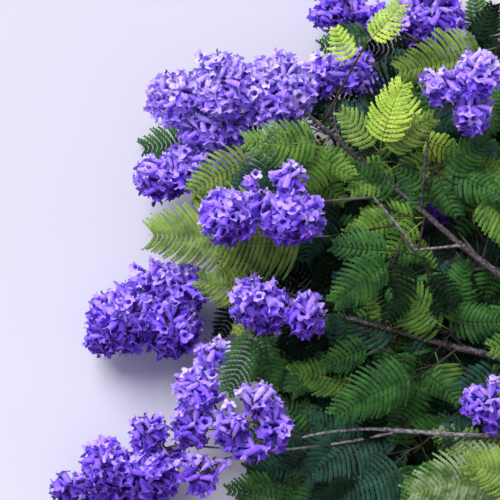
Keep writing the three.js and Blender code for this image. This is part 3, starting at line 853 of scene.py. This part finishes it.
def head_flowers(lobes, settings, rng):
    """One head's flowers, with their mouths on its lobes and their stalks from a few bunches in each lobe.

    Gives the bunches' middles, and each flower's foot, mouth, opening direction, size, bunch and height in
    its lobe, which is -1 at the lobe's lower side in the picture and 1 at its upper.
    """
    length = settings.flower_length / MM
    spacing = settings.spacing / MM
    bunches, found = [], []
    for lobe in lobes:
        middle, axes, half = lobe
        inner = np.maximum(half - length, half * INNER_LEAST)
        count = max(LEAST_BUNCHES, round(head_area(inner) / (settings.bunch_spacing / MM) ** 2))
        out = unit(even_ball(count, COVERED) + rng.normal(scale=BUNCH_JITTER, size=(count, 3)))
        ends = middle + (out * inner) @ axes
        swell = rng.uniform(*BUNCH_SWELL, count)

        out = unit(even_ball(round(head_area(half) / spacing**2 * settings.crowding)))
        out = unit(out + rng.normal(scale=MOUTH_JITTER, size=out.shape))
        reach = rng.uniform(*MOUTH_REACH, (len(out), 1))
        from_middle = (out * half * reach) @ axes
        nearest = np.argmin(np.linalg.norm(middle + from_middle[:, None] - ends[None], axis=-1), axis=1)
        mouths = middle + from_middle * swell[nearest, None]
        ways = unit(out @ axes) * settings.outward + rng.normal(scale=settings.jumble, size=out.shape)
        ways = ways * (1, 1, settings.flatness)
        ways[:, 1] -= settings.nod
        ways = unit(ways)
        sizes = rng.uniform(*FLOWER_SIZES, len(ways))
        feet = mouths - ways * (length * sizes)[:, None]

        others = [depth_in(other, mouths) for other in lobes if other is not lobe]
        free = np.min(others, axis=0) > OTHER_LOBE if others else np.ones(len(mouths), bool)
        free &= np.minimum(mouths[:, 2], feet[:, 2]) > settings.clearance / MM
        depth = depth_in(lobe, mouths)
        free &= depth_in(lobe, feet) < depth * DEEPER_FOOT
        owners = nearest + sum(map(len, bunches))
        above = (mouths[:, 1] - middle[1]) / half[1]
        found.append([row[free] for row in (feet, mouths, ways, sizes, owners, above, depth)])
        bunches.append(ends)
    *flowers, depth = map(np.concatenate, zip(*found))
    middles = (flowers[0] + flowers[1]) / 2
    kept = []
    for flower in np.argsort(-depth):
        if not (np.linalg.norm(middles[kept] - middles[flower], axis=-1) < spacing).any():
            kept.append(flower)
    return np.concatenate(bunches), *(row[kept] for row in flowers)


def flower_axes(ways):
    """Turns for flowers that open along these ways, with their lower lips hanging down the picture."""
    across = unit(np.cross(np.array(LIP_LEAN), ways) + 1e-6)
    return np.stack((across, np.cross(ways, across), ways), axis=1)


# Colours, nodes and materials

def linear(hex_colour):
    """An sRGB hex colour as linear red, green, blue and alpha."""
    channels = [int(hex_colour[i : i + 2], 16) / 255 for i in (1, 3, 5)]
    return [c / 12.92 if c <= 0.04045 else ((c + 0.055) / 1.055) ** 2.4 for c in channels] + [1.0]


def add_node(tree, kind, settings=None, links=None):
    """Adds a node, sets its properties and inputs, and links other nodes' outputs to its inputs."""
    node = tree.nodes.new(kind)
    for name, value in (settings or {}).items():
        if name in node.inputs:
            node.inputs[name].default_value = value
        else:
            setattr(node, name, value)
    for name, output in (links or {}).items():
        tree.links.new(output, node.inputs[name])
    return node


def new_material(name, surface):
    """A material with one surface shader, its uniform values set on the shader's own inputs."""
    material = bpy.data.materials.new(name)
    material.use_nodes = True
    tree = material.node_tree
    tree.nodes.clear()
    shader = add_node(tree, "ShaderNodeBsdfPrincipled", surface)
    add_node(tree, "ShaderNodeOutputMaterial", links={"Surface": shader.outputs[0]})
    place = add_node(tree, "ShaderNodeTexCoord").outputs["Object"]
    return material, tree, shader, place


def two_tone(tree, shader, factor, first, second, low=0.4, high=0.6):
    """Colours a shader with two hex colours that change over where the factor runs from low to high."""
    ramp = add_node(tree, "ShaderNodeValToRGB", links={"Fac": factor})
    ramp.color_ramp.elements[0].position = low
    ramp.color_ramp.elements[0].color = linear(first)
    ramp.color_ramp.elements[1].position = high
    ramp.color_ramp.elements[1].color = linear(second)
    tree.links.new(ramp.outputs["Color"], shader.inputs["Base Color"])
    return ramp


def per_mm(millimetres):
    """The scale of a pattern whose features are this far apart."""
    return 1 / (millimetres * MM)


def leaf_material(tint):
    """Fresh jacaranda leaflets: thin and soft, a little uneven in colour from leaflet to leaflet.

    The bright ones have a silky gloss. The ones in the shade are matt.
    """
    upper, fold = LEAF_TINTS[tint]
    gloss = 0.06 if tint == "dark" else 0.22
    surface = {"Roughness": 0.6, "Specular IOR Level": gloss}
    material, tree, shader, place = new_material("leaflets_" + tint, surface)
    patches = add_node(tree, "ShaderNodeTexNoise", {"Scale": per_mm(28), "Detail": 3}, {"Vector": place})
    two_tone(tree, shader, patches.outputs["Fac"], fold, upper, 0.35, 0.62)
    return material


def petal_material(tint, part):
    """Jacaranda petals: thin, silky and finely crinkled, the lips paler than the tubes.

    Light that comes through from behind softens their shade, as in real petals.
    """
    lip, tube = PETAL_TINTS[tint]
    surface = {
        "Roughness": 0.6,
        "Specular IOR Level": 0.25,
        "Sheen Weight": 0.25,
        "Sheen Roughness": 0.4,
        "Subsurface Weight": 0.8,
        "Subsurface Radius": (1.0, 0.8, 1.2),
        "Subsurface Scale": 7 * MM,
    }
    material, tree, shader, place = new_material("petal_" + part + "_" + tint, surface)
    crinkle = add_node(tree, "ShaderNodeTexNoise", {"Scale": per_mm(9), "Detail": 4}, {"Vector": place})
    low, high = (0.2, 0.58) if part == "lobes" else (0.45, 0.85)
    two_tone(tree, shader, crinkle.outputs["Fac"], tube, lip, low, high)
    bump = add_node(
        tree,
        "ShaderNodeBump",
        {"Strength": 0.35, "Distance": 0.6 * MM},
        {"Height": crinkle.outputs["Fac"]},
    )
    tree.links.new(bump.outputs["Normal"], shader.inputs["Normal"])
    return material


def bark_material(name, dark, pale, pore_mm):
    """Young grey bark: dull and finely wrinkled, with pale breathing pores."""
    surface = {"Roughness": 0.72, "Specular IOR Level": 0.35}
    material, tree, shader, place = new_material(name, surface)
    wrinkle = add_node(tree, "ShaderNodeTexNoise", {"Scale": per_mm(7), "Detail": 6}, {"Vector": place})
    ramp = two_tone(tree, shader, wrinkle.outputs["Fac"], dark, pale, 0.35, 0.7)
    pores = add_node(tree, "ShaderNodeTexVoronoi", {"Scale": per_mm(pore_mm)}, {"Vector": place})
    spot = add_node(
        tree,
        "ShaderNodeMapRange",
        {"From Min": 0.12, "From Max": 0.2, "To Min": 0.7, "To Max": 0.0},
        {"Value": pores.outputs["Distance"]},
    )
    mixed = add_node(tree, "ShaderNodeMix", {"data_type": "RGBA"})
    tree.links.new(spot.outputs[0], mixed.inputs["Factor"])
    tree.links.new(ramp.outputs["Color"], mixed.inputs[6])
    mixed.inputs[7].default_value = linear(PORE_TINT)
    tree.links.new(mixed.outputs[2], shader.inputs["Base Color"])
    bump = add_node(
        tree,
        "ShaderNodeBump",
        {"Strength": 0.5, "Distance": 0.5 * MM},
        {"Height": wrinkle.outputs["Fac"]},
    )
    tree.links.new(bump.outputs["Normal"], shader.inputs["Normal"])
    return material


def stalk_material(name, first, second):
    """Fresh stalks, smooth and dull, that change colour from one stretch to the next."""
    surface = {"Roughness": 0.6, "Specular IOR Level": 0.15}
    material, tree, shader, place = new_material(name, surface)
    patches = add_node(tree, "ShaderNodeTexNoise", {"Scale": per_mm(40), "Detail": 2}, {"Vector": place})
    two_tone(tree, shader, patches.outputs["Fac"], first, second)
    return material


def sawn_wood_material(centre):
    """Freshly sawn pale wood: dull, with year rings 2.4 mm apart about the bough's middle."""
    surface = {"Roughness": 0.8, "Specular IOR Level": 0.2}
    material, tree, shader, place = new_material("sawn_wood", surface)
    offset = add_node(tree, "ShaderNodeVectorMath", {"operation": "DISTANCE"}, {0: place})
    offset.inputs[1].default_value = centre
    rings = add_node(tree, "ShaderNodeMath", {"operation": "MULTIPLY"}, {0: offset.outputs["Value"]})
    rings.inputs[1].default_value = 2 * math.pi / (2.4 * MM)
    wave = add_node(tree, "ShaderNodeMath", {"operation": "SINE"}, {0: rings.outputs[0]})
    two_tone(tree, shader, wave.outputs[0], *SAWN_TINTS, 0.0, 0.9)
    return material


# Pieces

BOUGH = Bough()
FLOOR_REST = 0.8  # nothing that is made here reaches lower than this


def finish_piece(piece, nodes, material):
    """Gives a piece its material, the body that it rides on and the nodes that it stands for."""
    piece.data.materials.clear()
    piece.data.materials.append(material)
    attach(piece, "root")
    if nodes:
        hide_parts(*nodes)


def piece_from(bundle, name, nodes, material, smooth=True):
    """Makes one joined piece of the triangles in a bundle. What would reach below the floor lies on it."""
    points = np.concatenate(bundle.points)
    points[:, 2] = np.maximum(points[:, 2], FLOOR_REST)
    triangles = np.concatenate(bundle.triangles)
    mesh = bpy.data.meshes.new(name)
    mesh.vertices.add(len(points))
    mesh.vertices.foreach_set("co", BOUGH.placed(points).astype(np.float32).ravel())
    mesh.loops.add(triangles.size)
    mesh.loops.foreach_set("vertex_index", triangles.astype(np.int32).ravel())
    mesh.polygons.add(len(triangles))
    mesh.polygons.foreach_set("loop_start", np.arange(0, triangles.size, 3, dtype=np.int32))
    mesh.polygons.foreach_set("use_smooth", np.full(len(triangles), smooth))
    mesh.update(calc_edges=True)
    piece = bpy.data.objects.new(name, mesh)
    bpy.context.scene.collection.objects.link(piece)
    finish_piece(piece, nodes, material)
    return piece


def in_shade(x, y):
    """True in the shaded part of the bough."""
    return foliage_edge(y) + SHADE_MARGIN < x < SHADED_X and SHADED_Y[0] < y < SHADED_Y[1]


def leaf_shade(tint, number, middle, settings, rng):
    """The tint of one leaf: its shoot's own for the first, a step darker for some others, and dark low down,
    the darker tints being painted shade.

    Leaves out of the shaded part of the bough get light even low down, and so do some to its lower side.
    """
    x, y, z = middle
    level = z * MM / settings.shade_height + rng.normal(scale=SHADE_JITTER)
    if not in_shade(x, y):
        return "green" if tint == "dark" else tint
    shade = tint
    if level < LOW_LEVEL:
        shade = "dark"
    elif number > 0 and (level < MIDDLE_LEVEL or rng.random() < settings.shade_share):
        shade = STEP_DOWN[tint]
    if shade == "dark":
        cuts = LOWER_CUTS if y < LOWER_SIDE else UPPER_CUTS
        shade = DEEP_SHADES[np.digitize(rng.random(), cuts)]
    return shade


def limb_radii(name, shares, length, radii, settings):
    """A limb's radius at each share: tapered, flared at its foot and swollen where it carries another."""
    swell = np.ones_like(shares)
    for share in (row[2] for row in LIMBS + HEADS + SPRAYS if row[1] == name):
        away = (shares - share) * length / (settings.knot_reach / MM)
        swell += settings.knot * np.exp(-(away**2))
    if name != LIMBS[0][0]:
        swell += settings.flare * np.exp(-shares * length / (settings.knot_reach / MM))
    return between(radii[0], radii[1], shares) * swell


def add_relief(limb, name, size, depth):
    """Wrinkles a piece's surface with a cloud pattern of this size and depth, and applies it."""
    pattern = bpy.data.textures.new(name, "CLOUDS")
    pattern.noise_scale = size
    pattern.noise_depth = 2
    bpy.ops.object.modifier_add(type="DISPLACE")
    relief = limb.modifiers[-1]
    relief.texture = pattern
    relief.texture_coords = "LOCAL"
    relief.strength = depth
    bpy.ops.object.modifier_apply(modifier=relief.name)


def bark_limb(name, radii, settings, rng):
    """One limb: a round bar drawn along its curve, made a mesh, then wrinkled."""
    control = BOUGH.limbs[name]
    length = np.linalg.norm(np.diff(curve_points(control, np.linspace(0, 1, 20)), axis=0), axis=1).sum()
    shares = np.linspace(0, 1, max(LEAST_RINGS, round(length * MM / settings.ring_step)))
    at, _, across, face = frames_on(control, shares)
    radius = limb_radii(name, shares, length, radii, settings)
    waves = np.sin(shares[:, None] * length / WAVE_RUN + rng.uniform(*WAVE_STARTS, 2))
    waves = waves * np.sin(math.pi * shares)[:, None]
    at = at + (across * waves[:, :1] + face * waves[:, 1:]) * radius[:, None] * settings.wander
    at[:, 2] = np.maximum(at[:, 2], radius + settings.swelling_depth / MM)

    bpy.ops.object.select_all(action="DESELECT")
    bpy.ops.curve.primitive_bezier_curve_add(location=(0, 0, 0))
    limb = bpy.context.object
    limb.name = "bark_" + name
    bar = limb.data
    bar.splines.clear()
    line = bar.splines.new("POLY")
    line.points.add(len(shares) - 1)
    line.points.foreach_set("co", np.column_stack((BOUGH.placed(at), np.ones(len(at)))).ravel())
    line.points.foreach_set("radius", radius * MM)
    bar.dimensions = "3D"
    bar.bevel_depth = 1.0
    bar.bevel_resolution = settings.roundness
    bar.use_fill_caps = True
    bpy.ops.object.convert(target="MESH")
    limb = bpy.context.object
    add_relief(limb, name + "_swellings", settings.swelling_size, settings.swelling_depth)
    add_relief(limb, name + "_wrinkles", settings.wrinkle_size, settings.wrinkle_depth)
    bpy.ops.object.shade_smooth_by_angle(angle=SMOOTHED)
    return limb


def saw_cut(settings):
    """The main bough's sawn end: a disc of pale wood inside a ring of bark, just proud of the cut."""
    main = BOUGH.limbs[LIMBS[0][0]]
    radius = LIMBS[0][4][0] * MM
    along = -curve_tangents(main, [0])[0]
    foot = BOUGH.placed(main[0])
    foot[2] = max(foot[2], radius + settings.swelling_depth)
    turn = Vector(along).to_track_quat("Z", "Y").to_euler()
    bpy.ops.object.select_all(action="DESELECT")
    bpy.ops.mesh.primitive_circle_add(
        vertices=DISC_SIDES, radius=radius * DISC_SHARE, fill_type="NGON", location=foot, rotation=turn
    )
    disc = bpy.context.object
    disc.name = "sawn_end"
    bpy.ops.object.mode_set(mode="EDIT")
    bpy.ops.mesh.select_all(action="SELECT")
    bpy.ops.mesh.extrude_region_move(TRANSFORM_OT_translate={"value": tuple(along * DISC_OUT * MM)})
    bpy.ops.mesh.inset(thickness=DISC_EDGE[0] * MM, depth=DISC_EDGE[1] * MM)
    bpy.ops.object.mode_set(mode="OBJECT")
    bpy.ops.object.transform_apply(location=True, rotation=True, scale=True)
    finish_piece(disc, (), sawn_wood_material(tuple(foot)))
    return disc


def dress_limbs(settings):
    """Bark on every limb, and the sawn end."""
    rng = np.random.default_rng(settings.seed)
    bark = bark_material("young_bark", *YOUNG_BARK)
    # The paler bark on the lit limbs is a painted highlight.
    pale = bark_material("lit_young_bark", *LIT_YOUNG_BARK)
    for name, _, _, _, radii, _ in LIMBS:
        limb = bark_limb(name, radii, settings, rng)
        finish_piece(limb, (name,), pale if name in LIT_LIMBS else bark)
    saw_cut(settings)


def dress_leaves(settings):
    """All leaves, dealt into one piece for each tint, with their ribs and the shoots that carry them."""
    rng = np.random.default_rng(settings.seed)
    leaflets = {tint: Bundle() for tint in LEAF_TINTS}
    ribs = {tint: Bundle() for tint in RIB_TINTS}
    shoots = Bundle()
    nodes = {tint: [spray[0] for spray in SPRAYS if spray[-1] == tint] for tint in LEAF_TINTS}
    for spray in SPRAYS + ADDED_SHOOTS:
        shoot, twigs, leaves = leaves_of_spray(BOUGH, spray)
        add_tubes(shoots, shoot[None], SHOOT_RADII, sides=7, steps=6)
        if twigs:
            add_tubes(shoots, np.stack(twigs), TWIG_RADII, sides=5, steps=4)
        for number, (curve, length, roll) in enumerate(leaves):
            # A leaf lower in the bough takes a darker tint, as painted shade.
            shade = leaf_shade(spray[-1], number, curve.mean(axis=0), settings, rng)
            curve[1:] += BENT_LEAVES.get((spray[0], number), 0)
            rib = RIBS_OF_LEAVES.get(shade, "bright")
            add_leaf(leaflets[shade], ribs[rib], curve, length, roll, settings, rng)
    for tint, bundle in leaflets.items():
        piece_from(bundle, "leaflets_" + tint, nodes[tint], leaf_material(tint), smooth=False)
    for tint, bundle in ribs.items():
        material = stalk_material("leaf_rib_" + tint, *RIB_TINTS[tint])
        piece_from(bundle, "leaf_ribs_" + tint, (), material)
    piece_from(shoots, "leafy_shoots", (), stalk_material("green_shoot", *SHOOT_TINTS))


def petal_tint(glow, ways, above_head, above_lobe, rng):
    """A tint for each flower, as painted light and shade: paler where it faces the light and at the lit top
    of its head and its lobe.
    """
    facing = ways @ unit(np.array(BRIGHT_WAY))
    value = glow + FACING_GLOW * facing + HEAD_GLOW * above_head + LOBE_GLOW * above_lobe
    value += rng.normal(scale=GLOW_JITTER, size=len(ways))
    names = np.array(("deep", "violet", "lavender", "pale"))
    return names[np.digitize(value, GLOW_CUTS)]


def add_side_stalks(stalks, space, bunches, feet, owners, ways):
    """A head's stem, its side stalks out to the bunches, and each flower's own stalk."""
    start, middle, _, _ = space
    stem = middle - start
    add_tubes(stalks, bowed_curve(start, middle, 0, 0)[None], STEM_RADII, sides=7, steps=8)
    along = np.clip(((bunches - start) @ stem) / (stem @ stem) - SIDE_STALK_BACK, *SIDE_STALK_PART)
    inner = start + stem * along[:, None]
    arched = (inner + bunches) / 2 + UP * SIDE_STALK_ARCH
    add_tubes(stalks, np.stack((inner, arched, bunches), axis=1), SIDE_STALK_RADII, sides=5, steps=4)
    roots = bunches[owners]
    bend = feet - ways * np.linalg.norm(feet - roots, axis=-1, keepdims=True) * STALK_BEND
    add_tubes(stalks, np.stack((roots, bend, feet), axis=1), STALK_RADII, sides=3, steps=2)


def add_buds(buds, stalks, lobes, settings, rng):
    """Closed buds on stiff stalks that stand just out of a head's lobes, most of them to its upper side."""
    for number in range(settings.buds):
        middle, axes, half = lobes[number % len(lobes)]
        way = unit(rng.normal(size=3) * BUD_SPREAD + np.array(BUD_SIDE))
        tip = middle + (way @ axes.T * half * rng.uniform(*BUD_REACH)) @ axes
        way = unit(way + rng.normal(scale=BUD_TILT, size=3))
        length = rng.uniform(*BUD_LENGTH)
        feet = (tip - way * length)[None]
        if feet[0, 2] < settings.clearance / MM:
            continue
        roots = middle + (feet - middle) * BUD_ROOT
        arched = (roots + feet) / 2 + UP * BUD_STALK_ARCH
        add_tubes(stalks, np.stack((roots, arched, feet), axis=1), BUD_STALK_RADII, sides=3, steps=3)
        for start, reach, radii in BUD_CONES:
            low, high = feet + way * length * start, feet + way * length * (start + reach)
            add_tubes(buds, np.stack((low, (low + high) / 2, high), axis=1), radii, sides=6, steps=2)


def dress_flowers(settings):
    """All flowers, dealt into lobes and tubes of each tint, with their calyces, stalks and buds."""
    rng = np.random.default_rng(settings.seed)
    shapes = [flower_shape(settings, rng) for _ in range(settings.shapes)]
    lips = {tint: Bundle() for tint in PETAL_TINTS}
    tubes = {tint: Bundle() for tint in PETAL_TINTS}
    stalks, calyces, buds = Bundle(), Bundle(), Bundle()
    for head, space, lobes in zip(HEADS, BOUGH.heads, BOUGH.lobes):
        bunches, feet, mouths, ways, sizes, owners, above_lobe = head_flowers(lobes, settings, rng)
        # Paler tints toward the light and the heads' upper sides are painted light, and deeper ones painted
        # shade.
        above_head = (mouths[:, 1] - space[1][1]) / space[3][1]
        tints = petal_tint(head[-1], ways, above_head, above_lobe, rng)
        kinds = rng.integers(len(shapes), size=len(mouths))
        turns = flower_axes(ways)
        for kind, (tube, walls, lip, flaps) in enumerate(shapes):
            for tint in PETAL_TINTS:
                chosen = np.flatnonzero((kinds == kind) & (tints == tint))
                if not len(chosen):
                    continue
                for bundle, points, faces in ((tubes[tint], tube, walls), (lips[tint], lip, flaps)):
                    turned = np.einsum("vk,nkx->nvx", points, turns[chosen]) * sizes[chosen, None, None]
                    bundle.add_copies(turned + mouths[chosen, None], faces)
        bases = feet - turns[:, 1] * (FLOWER_BOW * settings.flower_length / MM * sizes)[:, None]
        add_side_stalks(stalks, space, bunches, bases, owners, ways)
        cups = np.stack([bases + ways * place for place in CALYX_PLACES], axis=1)
        add_tubes(calyces, cups, CALYX_RADII, sides=5, steps=1)
        add_buds(buds, stalks, lobes, settings, rng)
    nodes = [head[0] for head in HEADS]
    for tint in PETAL_TINTS:
        shown = nodes if tint == "violet" else ()
        piece_from(lips[tint], "petal_lobes_" + tint, shown, petal_material(tint, "lobes"))
        piece_from(tubes[tint], "petal_tubes_" + tint, (), petal_material(tint, "tubes"))
    piece_from(stalks, "flower_stalks", (), stalk_material("flower_stalk", *FLOWER_STALK_TINTS))
    piece_from(calyces, "calyces", (), stalk_material("calyx", *CALYX_TINTS))
    piece_from(buds, "flower_buds", (), stalk_material("bud", *BUD_TINTS))


def make_floor(settings):
    """A plain pale floor, matt, so that it only takes the soft shadows."""
    bpy.ops.object.select_all(action="DESELECT")
    bpy.ops.mesh.primitive_plane_add(size=settings.floor_size)
    floor = bpy.context.object
    floor.name = "floor"
    surface = {"Roughness": 0.9, "Specular IOR Level": 0.1}
    material, tree, shader, place = new_material("matt_paint", surface)
    grain = add_node(tree, "ShaderNodeTexNoise", {"Scale": per_mm(900), "Detail": 2}, {"Vector": place})
    two_tone(tree, shader, grain.outputs["Fac"], *FLOOR_TINTS)
    floor.data.materials.append(material)


def make_light(settings):
    """An even soft light from the sky side of the picture, and a pale surround that fills its shadows.

    Colours are shown as they are, with no film curve over them.
    """
    bpy.ops.object.select_all(action="DESELECT")
    aim = (-Vector(settings.light_way)).to_track_quat("-Z", "Y").to_euler()
    bpy.ops.object.light_add(type="SUN", location=settings.light_way, rotation=aim)
    light = bpy.context.object
    light.name = "sky_light"
    light.data.angle = settings.light_softness
    light.data.energy = settings.light_power
    world = bpy.data.worlds.new("pale_surround")
    bpy.context.scene.world = world
    bpy.context.scene.view_settings.view_transform = "Standard"
    world.use_nodes = True
    ground = world.node_tree.nodes["Background"]
    ground.inputs["Color"].default_value = linear(SURROUND_TINT)
    ground.inputs["Strength"].default_value = settings.surround


def make_camera(settings):
    """A camera straight above the flowering side, whose picture is as wide there as the photo's."""
    bpy.ops.object.select_all(action="DESELECT")
    x, y, _ = BOUGH.placed(np.zeros(3))
    height = settings.picture_level + settings.camera_distance
    bpy.ops.object.camera_add(location=(x, y, height), rotation=(0, 0, 0))
    camera = bpy.context.object
    camera.name = "photo_camera"
    camera.data.sensor_width = SENSOR_WIDTH
    camera.data.sensor_fit = "HORIZONTAL"
    camera.data.lens = SENSOR_WIDTH * settings.camera_distance / settings.picture_width
    bpy.context.scene.camera = camera


# The add-on

class BarkSettings(bpy.types.PropertyGroup):
    """Sizes of the bark and of the limbs' swellings."""

    seed: bpy.props.IntProperty(name="Seed", description="Deals out the limbs' small bends", default=11)
    ring_step: bpy.props.FloatProperty(
        name="Ring step", description="Distance between rings of faces", default=0.004, unit="LENGTH"
    )
    roundness: bpy.props.IntProperty(
        name="Roundness", description="More makes rounder limbs", default=7, min=2
    )
    knot: bpy.props.FloatProperty(
        name="Knot", description="Swelling where something grows out", default=0.16, subtype="FACTOR"
    )
    flare: bpy.props.FloatProperty(
        name="Flare", description="Widening at a limb's foot", default=0.5, subtype="FACTOR"
    )
    knot_reach: bpy.props.FloatProperty(
        name="Knot reach", description="How far a swelling runs along a limb", default=0.011, unit="LENGTH"
    )
    wander: bpy.props.FloatProperty(
        name="Wander", description="Small bends, as a share of the radius", default=0.28, subtype="FACTOR"
    )
    swelling_size: bpy.props.FloatProperty(
        name="Swelling size", description="Width of the bark's broad relief", default=0.016, unit="LENGTH"
    )
    swelling_depth: bpy.props.FloatProperty(
        name="Swelling depth", description="Depth of the bark's broad relief", default=0.0016, unit="LENGTH"
    )
    wrinkle_size: bpy.props.FloatProperty(
        name="Wrinkle size", description="Width of the bark's wrinkles", default=0.005, unit="LENGTH"
    )
    wrinkle_depth: bpy.props.FloatProperty(
        name="Wrinkle depth", description="Depth of the bark's wrinkles", default=0.0007, unit="LENGTH"
    )


class LeafSettings(bpy.types.PropertyGroup):
    """Sizes and numbers of the leaves' parts."""

    seed: bpy.props.IntProperty(name="Seed", description="Deals out the leaves' unevenness", default=5)
    rib_spacing: bpy.props.FloatProperty(
        name="Side rib spacing", description="Distance between side ribs", default=0.0102, unit="LENGTH"
    )
    leaflet_spacing: bpy.props.FloatProperty(
        name="Leaflet spacing",
        description="Distance between leaflets on a side rib",
        default=0.0074,
        unit="LENGTH",
    )
    leaflet_length: bpy.props.FloatProperty(
        name="Leaflet length",
        description="Length of a side rib's longest leaflets",
        default=0.0054,
        unit="LENGTH",
    )
    pinna_point: bpy.props.FloatProperty(
        name="Side rib point",
        description="Leaflets at a side rib's tip, as a share of its longest",
        default=0.4,
        subtype="FACTOR",
    )
    breadth: bpy.props.FloatProperty(
        name="Breadth", description="Longest side rib as a share of the leaf", default=0.32, subtype="FACTOR"
    )
    uneven: bpy.props.FloatProperty(
        name="Unevenness", description="How much side ribs differ in length", default=0.08, subtype="FACTOR"
    )
    rib_radius: bpy.props.FloatProperty(
        name="Rib radius", description="Millimetres at the leaf's foot", default=1.3
    )
    # Side leaves a step darker, and dark leaves low down, are painted shade.
    shade_share: bpy.props.FloatProperty(
        name="Shade share",
        description="Share of a shoot's side leaves that are a step darker",
        default=0.35,
        subtype="FACTOR",
    )
    shade_height: bpy.props.FloatProperty(
        name="Shade height", description="Leaves under this height are dark", default=0.11, unit="LENGTH"
    )


class FlowerSettings(bpy.types.PropertyGroup):
    """Sizes and numbers of the flowers' parts."""

    seed: bpy.props.IntProperty(name="Seed", description="Deals out the flowers", default=8)
    shapes: bpy.props.IntProperty(
        name="Shapes", description="How many different flowers there are", default=9
    )
    flower_length: bpy.props.FloatProperty(
        name="Flower length", description="From foot to mouth", default=0.038, unit="LENGTH"
    )
    throat_radius: bpy.props.FloatProperty(
        name="Throat radius", description="Half the width of the tube's mouth", default=0.0064, unit="LENGTH"
    )
    lobe_length: bpy.props.FloatProperty(
        name="Lobe length",
        description="How far the lobes reach out of the mouth",
        default=0.0108,
        unit="LENGTH",
    )
    ruffle: bpy.props.FloatProperty(
        name="Ruffle", description="How far the lobes' edges are ruffled", default=0.0018, unit="LENGTH"
    )
    bunch_spacing: bpy.props.FloatProperty(
        name="Bunch spacing", description="Distance between bunches in a head", default=0.058, unit="LENGTH"
    )
    crowding: bpy.props.FloatProperty(
        name="Crowding",
        description="Places tried for flowers, for each that could stand on a lobe",
        default=4,
    )
    spacing: bpy.props.FloatProperty(
        name="Spacing", description="Least distance between flowers' middles", default=0.0132, unit="LENGTH"
    )
    outward: bpy.props.FloatProperty(
        name="Outward", description="How much flowers turn away from their lobe's middle", default=0.8
    )
    jumble: bpy.props.FloatProperty(
        name="Jumble", description="How much flowers turn at random", default=0.55
    )
    flatness: bpy.props.FloatProperty(
        name="Flatness",
        description="How far flowers turn up or down: 1 is as far as to any other side",
        default=0.4,
    )
    nod: bpy.props.FloatProperty(
        name="Nod", description="How much flowers turn to the lower side", default=0.45, subtype="FACTOR"
    )
    clearance: bpy.props.FloatProperty(
        name="Clearance", description="Lowest mouth above the floor", default=0.012, unit="LENGTH"
    )
    buds: bpy.props.IntProperty(name="Buds", description="Buds on each head", default=14)


class StageSettings(bpy.types.PropertyGroup):
    """The floor, the light and the camera."""

    floor_size: bpy.props.FloatProperty(
        name="Floor size", description="Width of the floor", default=40, unit="LENGTH"
    )
    light_way: bpy.props.FloatVectorProperty(
        name="Light way", description="The way to the soft light", default=(-1.0, 1.7, 1.8)
    )
    light_softness: bpy.props.FloatProperty(
        name="Light softness",
        description="How wide the soft light looks",
        default=math.radians(40),
        subtype="ANGLE",
    )
    light_power: bpy.props.FloatProperty(
        name="Light power", description="Watts of the soft light on a square metre", default=4.4
    )
    surround: bpy.props.FloatProperty(
        name="Surround", description="Brightness of the surround", default=0.55
    )
    camera_distance: bpy.props.FloatProperty(
        name="Camera distance", description="Above the picture's level", default=4, unit="LENGTH"
    )
    picture_width: bpy.props.FloatProperty(
        name="Picture width", description="What the picture spans", default=1.05, unit="LENGTH"
    )
    picture_level: bpy.props.FloatProperty(
        name="Picture level", description="Height at which it spans that", default=0.2, unit="LENGTH"
    )


class BOUGH_OT_limbs(bpy.types.Operator):
    """Give every limb its bark, and the main bough its sawn end"""

    bl_idname = "bough.limbs"
    bl_label = "Dress the limbs"

    def execute(self, context):
        dress_limbs(context.scene.bough_bark)
        return {"FINISHED"}


class BOUGH_OT_leaves(bpy.types.Operator):
    """Grow the leafy shoots"""

    bl_idname = "bough.leaves"
    bl_label = "Grow the leaves"

    def execute(self, context):
        dress_leaves(context.scene.bough_leaves)
        return {"FINISHED"}


class BOUGH_OT_flowers(bpy.types.Operator):
    """Grow the heads of flowers"""

    bl_idname = "bough.flowers"
    bl_label = "Grow the flowers"

    def execute(self, context):
        dress_flowers(context.scene.bough_flowers)
        return {"FINISHED"}


class BOUGH_OT_stage(bpy.types.Operator):
    """Make the floor, the light and the camera"""

    bl_idname = "bough.stage"
    bl_label = "Set the stage"

    def execute(self, context):
        settings = context.scene.bough_stage
        make_floor(settings)
        make_light(settings)
        make_camera(settings)
        return {"FINISHED"}


class BOUGH_PT_panel(bpy.types.Panel):
    """Lists the bough's operators and their settings"""

    bl_label = "Jacaranda bough"
    bl_idname = "BOUGH_PT_panel"
    bl_space_type = "VIEW_3D"
    bl_region_type = "UI"
    bl_category = "Bough"

    def draw(self, context):
        for operator, settings_name in STEPS:
            box = self.layout.box()
            box.operator(operator)
            settings = getattr(context.scene, settings_name)
            for name in settings.__annotations__:
                box.prop(settings, name)


STEPS = (
    ("bough.stage", "bough_stage"),
    ("bough.limbs", "bough_bark"),
    ("bough.leaves", "bough_leaves"),
    ("bough.flowers", "bough_flowers"),
)
SETTINGS = {
    "bough_bark": BarkSettings,
    "bough_leaves": LeafSettings,
    "bough_flowers": FlowerSettings,
    "bough_stage": StageSettings,
}
CLASSES = (
    *SETTINGS.values(),
    BOUGH_OT_limbs,
    BOUGH_OT_leaves,
    BOUGH_OT_flowers,
    BOUGH_OT_stage,
    BOUGH_PT_panel,
)


def register():
    for each in CLASSES:
        bpy.utils.register_class(each)
    for name, group in SETTINGS.items():
        setattr(bpy.types.Scene, name, bpy.props.PointerProperty(type=group))


def unregister():
    for name in SETTINGS:
        delattr(bpy.types.Scene, name)
    for each in reversed(CLASSES):
        bpy.utils.unregister_class(each)


def main():
    """Registers the classes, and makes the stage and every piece."""
    register()
    bpy.ops.bough.stage()
    bpy.ops.bough.limbs()
    bpy.ops.bough.leaves()
    bpy.ops.bough.flowers()
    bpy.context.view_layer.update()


if __name__ == "__main__":
    main()
